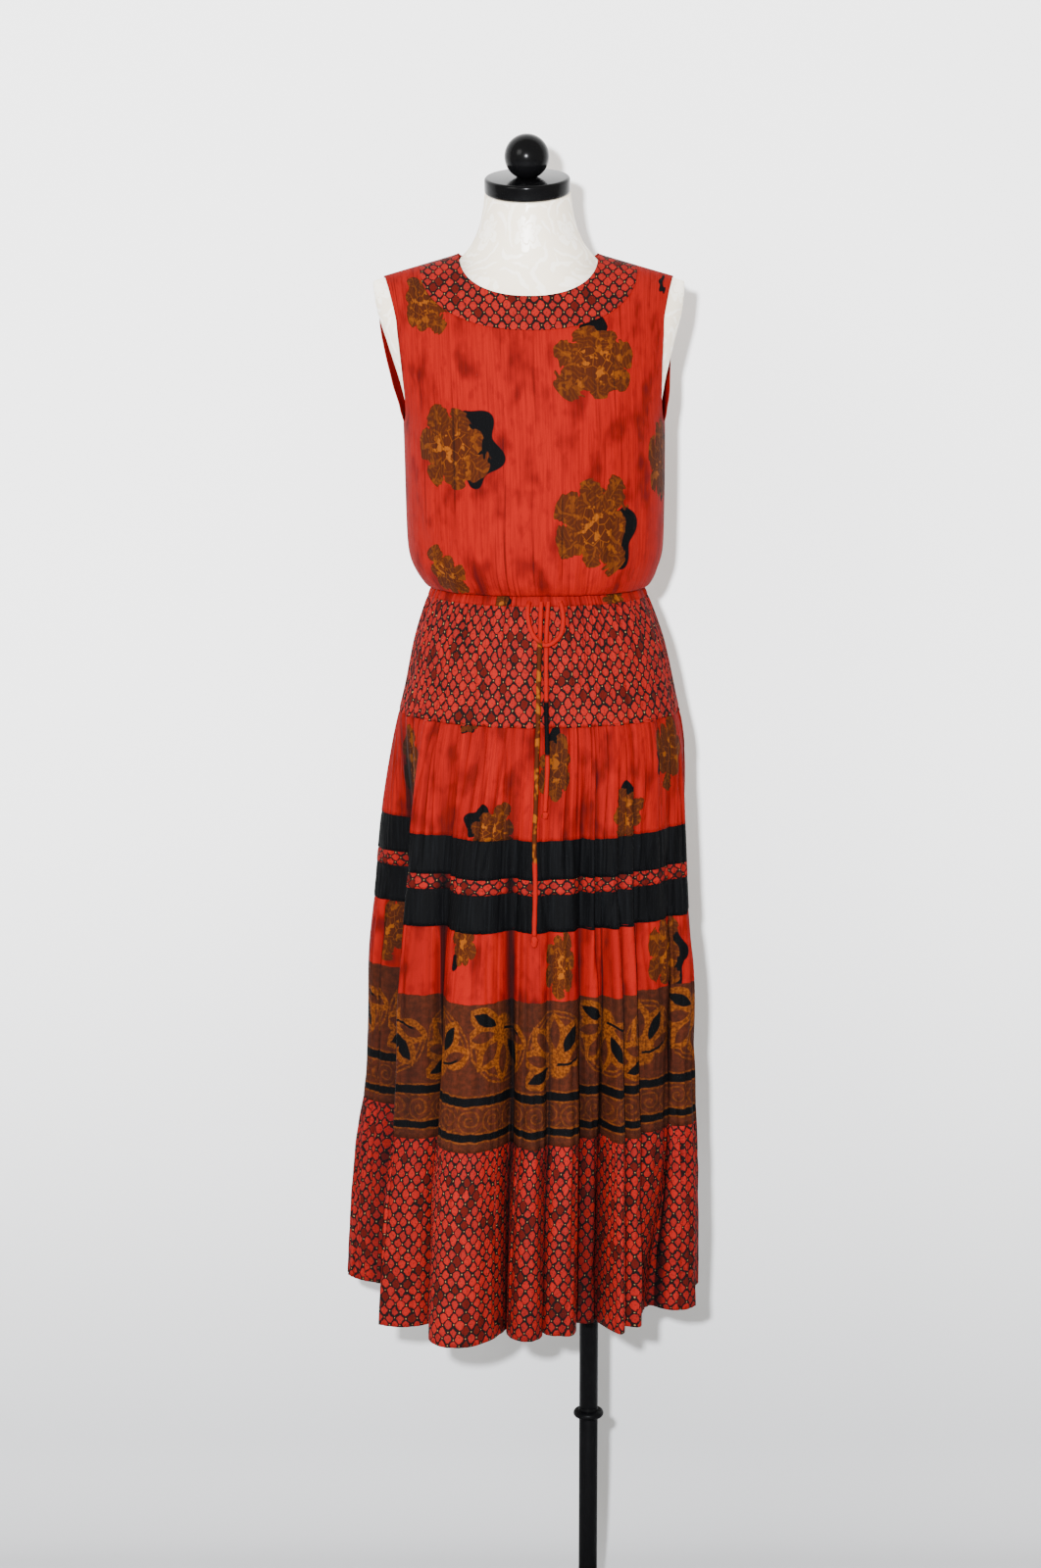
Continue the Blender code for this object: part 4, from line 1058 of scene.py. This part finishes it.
def buildForm():
    heights = list(form["upper"])
    for start, span, count in form["evenRings"]:
        heights += [start + span * i / count for i in range(count + 1)]
    heights.sort()
    rings = [formRing(height) for height in heights]
    for point in rings[-1]:
        point.z += ((point.y - form["neckCentre"][1]) * math.tan(form["tilt"])
                    + (point.x - form["neckCentre"][0]) * math.tan(form["roll"]))
    for number in range(2, 8):        # the last rings lean towards the sloping top
        share = (8 - number) / 7
        for point, top in zip(rings[-number], rings[-1]):
            point.z += (top.z - form["neckTop"]) * share
    shape = bmesh.new()
    bmesh.ops.create_cone(shape, cap_ends=True, segments=form["columns"], radius1=1, radius2=1, depth=1)
    sides = [edge for edge in shape.edges if abs(edge.verts[0].co.z - edge.verts[1].co.z) > 0.5]
    bmesh.ops.subdivide_edges(shape, edges=sides, cuts=len(rings) - 2, use_grid_fill=False)
    levels = sorted({round(vert.co.z, 5) for vert in shape.verts})
    spots = {}
    for vert in shape.verts:
        row = levels.index(round(vert.co.z, 5))
        turn = math.atan2(vert.co.x, -vert.co.y) / (2 * math.pi) * form["columns"]
        spots[vert] = (row, round(turn) % form["columns"])
    damaskMap = shape.loops.layers.uv.new("cloth")
    for face in shape.faces:
        ends = [spots[vert][1] for vert in face.verts]
        overBack = max(ends) - min(ends) > form["columns"] / 2
        for loop in face.loops:
            row, column = spots[loop.vert]
            if overBack and column < form["columns"] / 2:
                column += form["columns"]
            loop[damaskMap].uv = (column / form["columns"], rings[row][0].z)
    for vert in shape.verts:
        row, column = spots[vert]
        vert.co = rings[row][column]
    return meshPiece("form_body", shape)


def neckTurn():
    return Matrix.Rotation(form["tilt"], 3, "X") @ Matrix.Rotation(-form["roll"], 3, "Y")


def onNeck(shape, lift):
    bmesh.ops.rotate(shape, cent=(0, 0, 0), verts=shape.verts, matrix=neckTurn())
    place = Vector((*form["neckCentre"], form["neckTop"])) + neckTurn() @ Vector((0, 0, lift))
    bmesh.ops.translate(shape, vec=place, verts=shape.verts)


# A turned piece from its outline of radius and height, spun all the way round
def turned(outline, steps=96):
    shape = bmesh.new()
    verts = [shape.verts.new((radius, 0, height)) for radius, height in outline]
    edges = [shape.edges.new(pair) for pair in zip(verts, verts[1:])]
    bmesh.ops.spin(shape, geom=verts + edges, axis=(0, 0, 1), cent=(0, 0, 0), steps=steps,
                   angle=2 * math.pi, use_merge=True)
    bmesh.ops.remove_doubles(shape, verts=shape.verts, dist=1e-6)
    return shape


def rounded(radius, low, high, edge, steps=5, inner=0.0):
    outline = [(inner, low)]
    for centre, first in ((low + edge, -90), (high - edge, 0)):
        for step in range(steps + 1):
            angle = math.radians(first + 90 * step / steps)
            outline.append((radius - edge + edge * math.cos(angle), centre + edge * math.sin(angle)))
    return outline + [(inner, high)]


def buildStand():
    gap, split = form["gap"], form["poleSplit"]
    cap = turned(rounded(form["capRadius"], -form["capThick"] / 2, form["capThick"] / 2, form["capEdge"]))
    onNeck(cap, form["capThick"] / 2 + 2 * gap)
    carry(meshPiece("neck_disc", cap), ["neck_cap"], looks["black_lacquer"])
    outline = [(0, -form["ballSeat"])]
    start = math.asin(-form["ballSeat"] / form["ballRadius"])
    for step in range(41):
        angle = start + (math.pi / 2 - start) * step / 40
        outline.append((max(0.0, form["ballRadius"] * math.cos(angle)), form["ballRadius"] * math.sin(angle)))
    ball = turned(outline, 72)
    onNeck(ball, form["capThick"] + 3 * gap + form["ballSeat"])
    carry(meshPiece("finial_ball", ball), ["cap_ball"], looks["black_lacquer"])
    for name, node, low, high in (("pole_upper", "upper_pole", split + gap, form["bottom"] - gap),
                                  ("pole_lower", "lower_pole", form["baseThick"] + gap, split)):
        pole = turned(rounded(form["poleRadius"], low, high, form["poleEdge"], 2), 64)
        carry(meshPiece(name, pole), [node], looks["pole_black"])
    inside = form["poleRadius"] + gap
    outline = [(inside, form["ringHeight"] - form["ringHalf"])]
    for step in range(13):
        angle = -math.pi / 2 + math.pi * step / 12
        outline.append((form["ringRadius"] - form["ringHalf"] * (1 - math.cos(angle)),
                        form["ringHeight"] + form["ringHalf"] * math.sin(angle)))
    outline += [(inside, form["ringHeight"] + form["ringHalf"]), outline[0]]
    carry(meshPiece("collar_ring", turned(outline, 72)), ["pole_ring"], looks["pole_black"])
    base = turned(rounded(form["baseRadius"], 0.0, form["baseThick"], form["baseEdge"]), 128)
    carry(meshPiece("round_base", base), ["base_plate"], looks["pole_black"])


carry(buildForm(), ["form_torso"], looks["ivory_damask"])
buildStand()
print("form and stand done")


# The tie: a narrow turned tube, on the same route as its solids
def routeCurve(route):
    points = [Vector(point) for point in route]
    fine = []
    for number in range(len(points) - 1):
        p0, p1 = points[max(number - 1, 0)], points[number]
        p2, p3 = points[number + 1], points[min(number + 2, len(points) - 1)]
        for step in range(6):
            t = step / 6
            fine.append(0.5 * (2 * p1 + (p2 - p0) * t + (2 * p0 - 5 * p1 + 4 * p2 - p3) * t**2
                               + (3 * p1 - p0 - 3 * p2 + p3) * t**3))
    return fine + [points[-1]]


def buildTie(name, node, route, knots=()):
    points = routeCurve(route)
    data = bpy.data.curves.new(name, "CURVE")
    data.dimensions = "3D"
    data.bevel_depth = tie["radius"]
    data.bevel_resolution = 5
    data.use_fill_caps = True
    spline = data.splines.new("POLY")
    spline.points.add(len(points) - 1)
    for number, (place, point) in enumerate(zip(spline.points, points)):
        place.co = (*point, 1)
        place.radius = 0.96 + 0.07 * math.sin(number * 1.7)
    piece = carry(newObject(name, data), [node], tieLook)
    length = walkedAlong(points)[-1]


# A knot: a lump with twisted grooves at the end of the tie
def buildKnot(end):
    radius, tall = tie["knots"][end]
    place = tie[end][-1]
    shape = bmesh.new()
    bmesh.ops.create_uvsphere(shape, u_segments=28, v_segments=20, radius=radius)
    bmesh.ops.scale(shape, vec=(1, 0.8, tall / (2 * radius)), verts=shape.verts)
    for vert in shape.verts:
        angle = math.atan2(vert.co.y, vert.co.x)
        groove = 1 + 0.10 * math.sin(3 * angle + vert.co.z / tall * 9)
        vert.co.x *= groove
        vert.co.y *= groove
    bmesh.ops.translate(shape, vec=(place[0], place[1], place[2] - form["gap"] - tall / 2), verts=shape.verts)
    return carry(meshPiece("knot_" + end, shape), ["tie_knot_" + end], tieLook)


buildTie("tie_bow_loop", "tie_loop", tie["loop"])
for end in ("long", "short"):
    buildTie("tie_" + end, "tie_end_" + end, tie[end], [buildKnot(end)])
print("tie done")

# Floor and backdrop, lights and camera
stagePlan = {
    "wall": 0.34, "curve": 0.12, "half": 6.0, "near": -6.0, "high": 4.5,
    # painted shade: the paper darkens towards its foot, where less light falls; height and colour, at the
    # foot and above
    "paintedShadeTones": ((-0.30, (0.36, 0.365, 0.38)), (1.15, (0.98, 0.98, 0.98))),
}


def buildStage():
    outline = [(stagePlan["near"], 0.0)]
    for step in range(13):
        angle = math.radians(90 * step / 12)
        outline.append((stagePlan["wall"] - stagePlan["curve"] * (1 - math.sin(angle)),
                        stagePlan["curve"] * (1 - math.cos(angle))))
    outline.append((stagePlan["wall"], stagePlan["high"]))
    shape = bmesh.new()
    verts = [shape.verts.new((-stagePlan["half"], y, z)) for y, z in outline]
    edges = [shape.edges.new(pair) for pair in zip(verts, verts[1:])]
    moved = bmesh.ops.extrude_edge_only(shape, edges=edges)["geom"]
    bmesh.ops.translate(shape, vec=(2 * stagePlan["half"], 0, 0),
                        verts=[item for item in moved if isinstance(item, bmesh.types.BMVert)])
    paper = meshPiece("paper_sweep", shape)
    material, tree, shader = newMaterial("paleSweep", 0.9)
    height, = parted(objectPlace(tree), 2)
    (low, dark), (high, pale) = stagePlan["paintedShadeTones"]
    # Painted shade: the sweep runs from dark at its foot to pale above
    feed(shader.inputs["Base Color"], blendColour(edgeStep(height, low, high), dark, pale))
    paper.data.materials.append(material)


def areaLight(name, place, target, size, power, colour):
    data = bpy.data.lights.new(name, "AREA")
    data.size = size
    data.energy = power
    data.color = colour
    lamp = newObject(name, data)
    lamp.location = place
    lamp.rotation_euler = (Vector(target) - Vector(place)).to_track_quat("-Z", "Y").to_euler()


buildStage()
areaLight("key", (-0.27, -3.75, 2.03), (-0.05, 0, 1.25), 0.07, 450, (0.97, 0.988, 1.025))
areaLight("side", (-2.2, -2.4, 3.0), (-0.05, 0, 1.4), 1.2, 70, (1.0, 0.99, 0.97))
world = bpy.data.worlds.new("softRoom")
world.use_nodes = True
world.node_tree.nodes["Background"].inputs[0].default_value = (1.0, 0.955, 0.84, 1)
world.node_tree.nodes["Background"].inputs[1].default_value = 1.05
bpy.context.scene.world = world

photo = {"tall": 1600, "focal": 3400, "pitch": 12.0, "place": (-0.082, -3.776, 1.875)}
cameraData = bpy.data.cameras.new("camera")
cameraData.sensor_fit = "VERTICAL"
cameraData.sensor_height = 36
cameraData.lens = photo["focal"] / photo["tall"] * 36
camera = newObject("camera", cameraData)
camera.location = photo["place"]
camera.rotation_euler = (math.radians(90 - photo["pitch"]), 0, 0)
bpy.context.scene.camera = camera
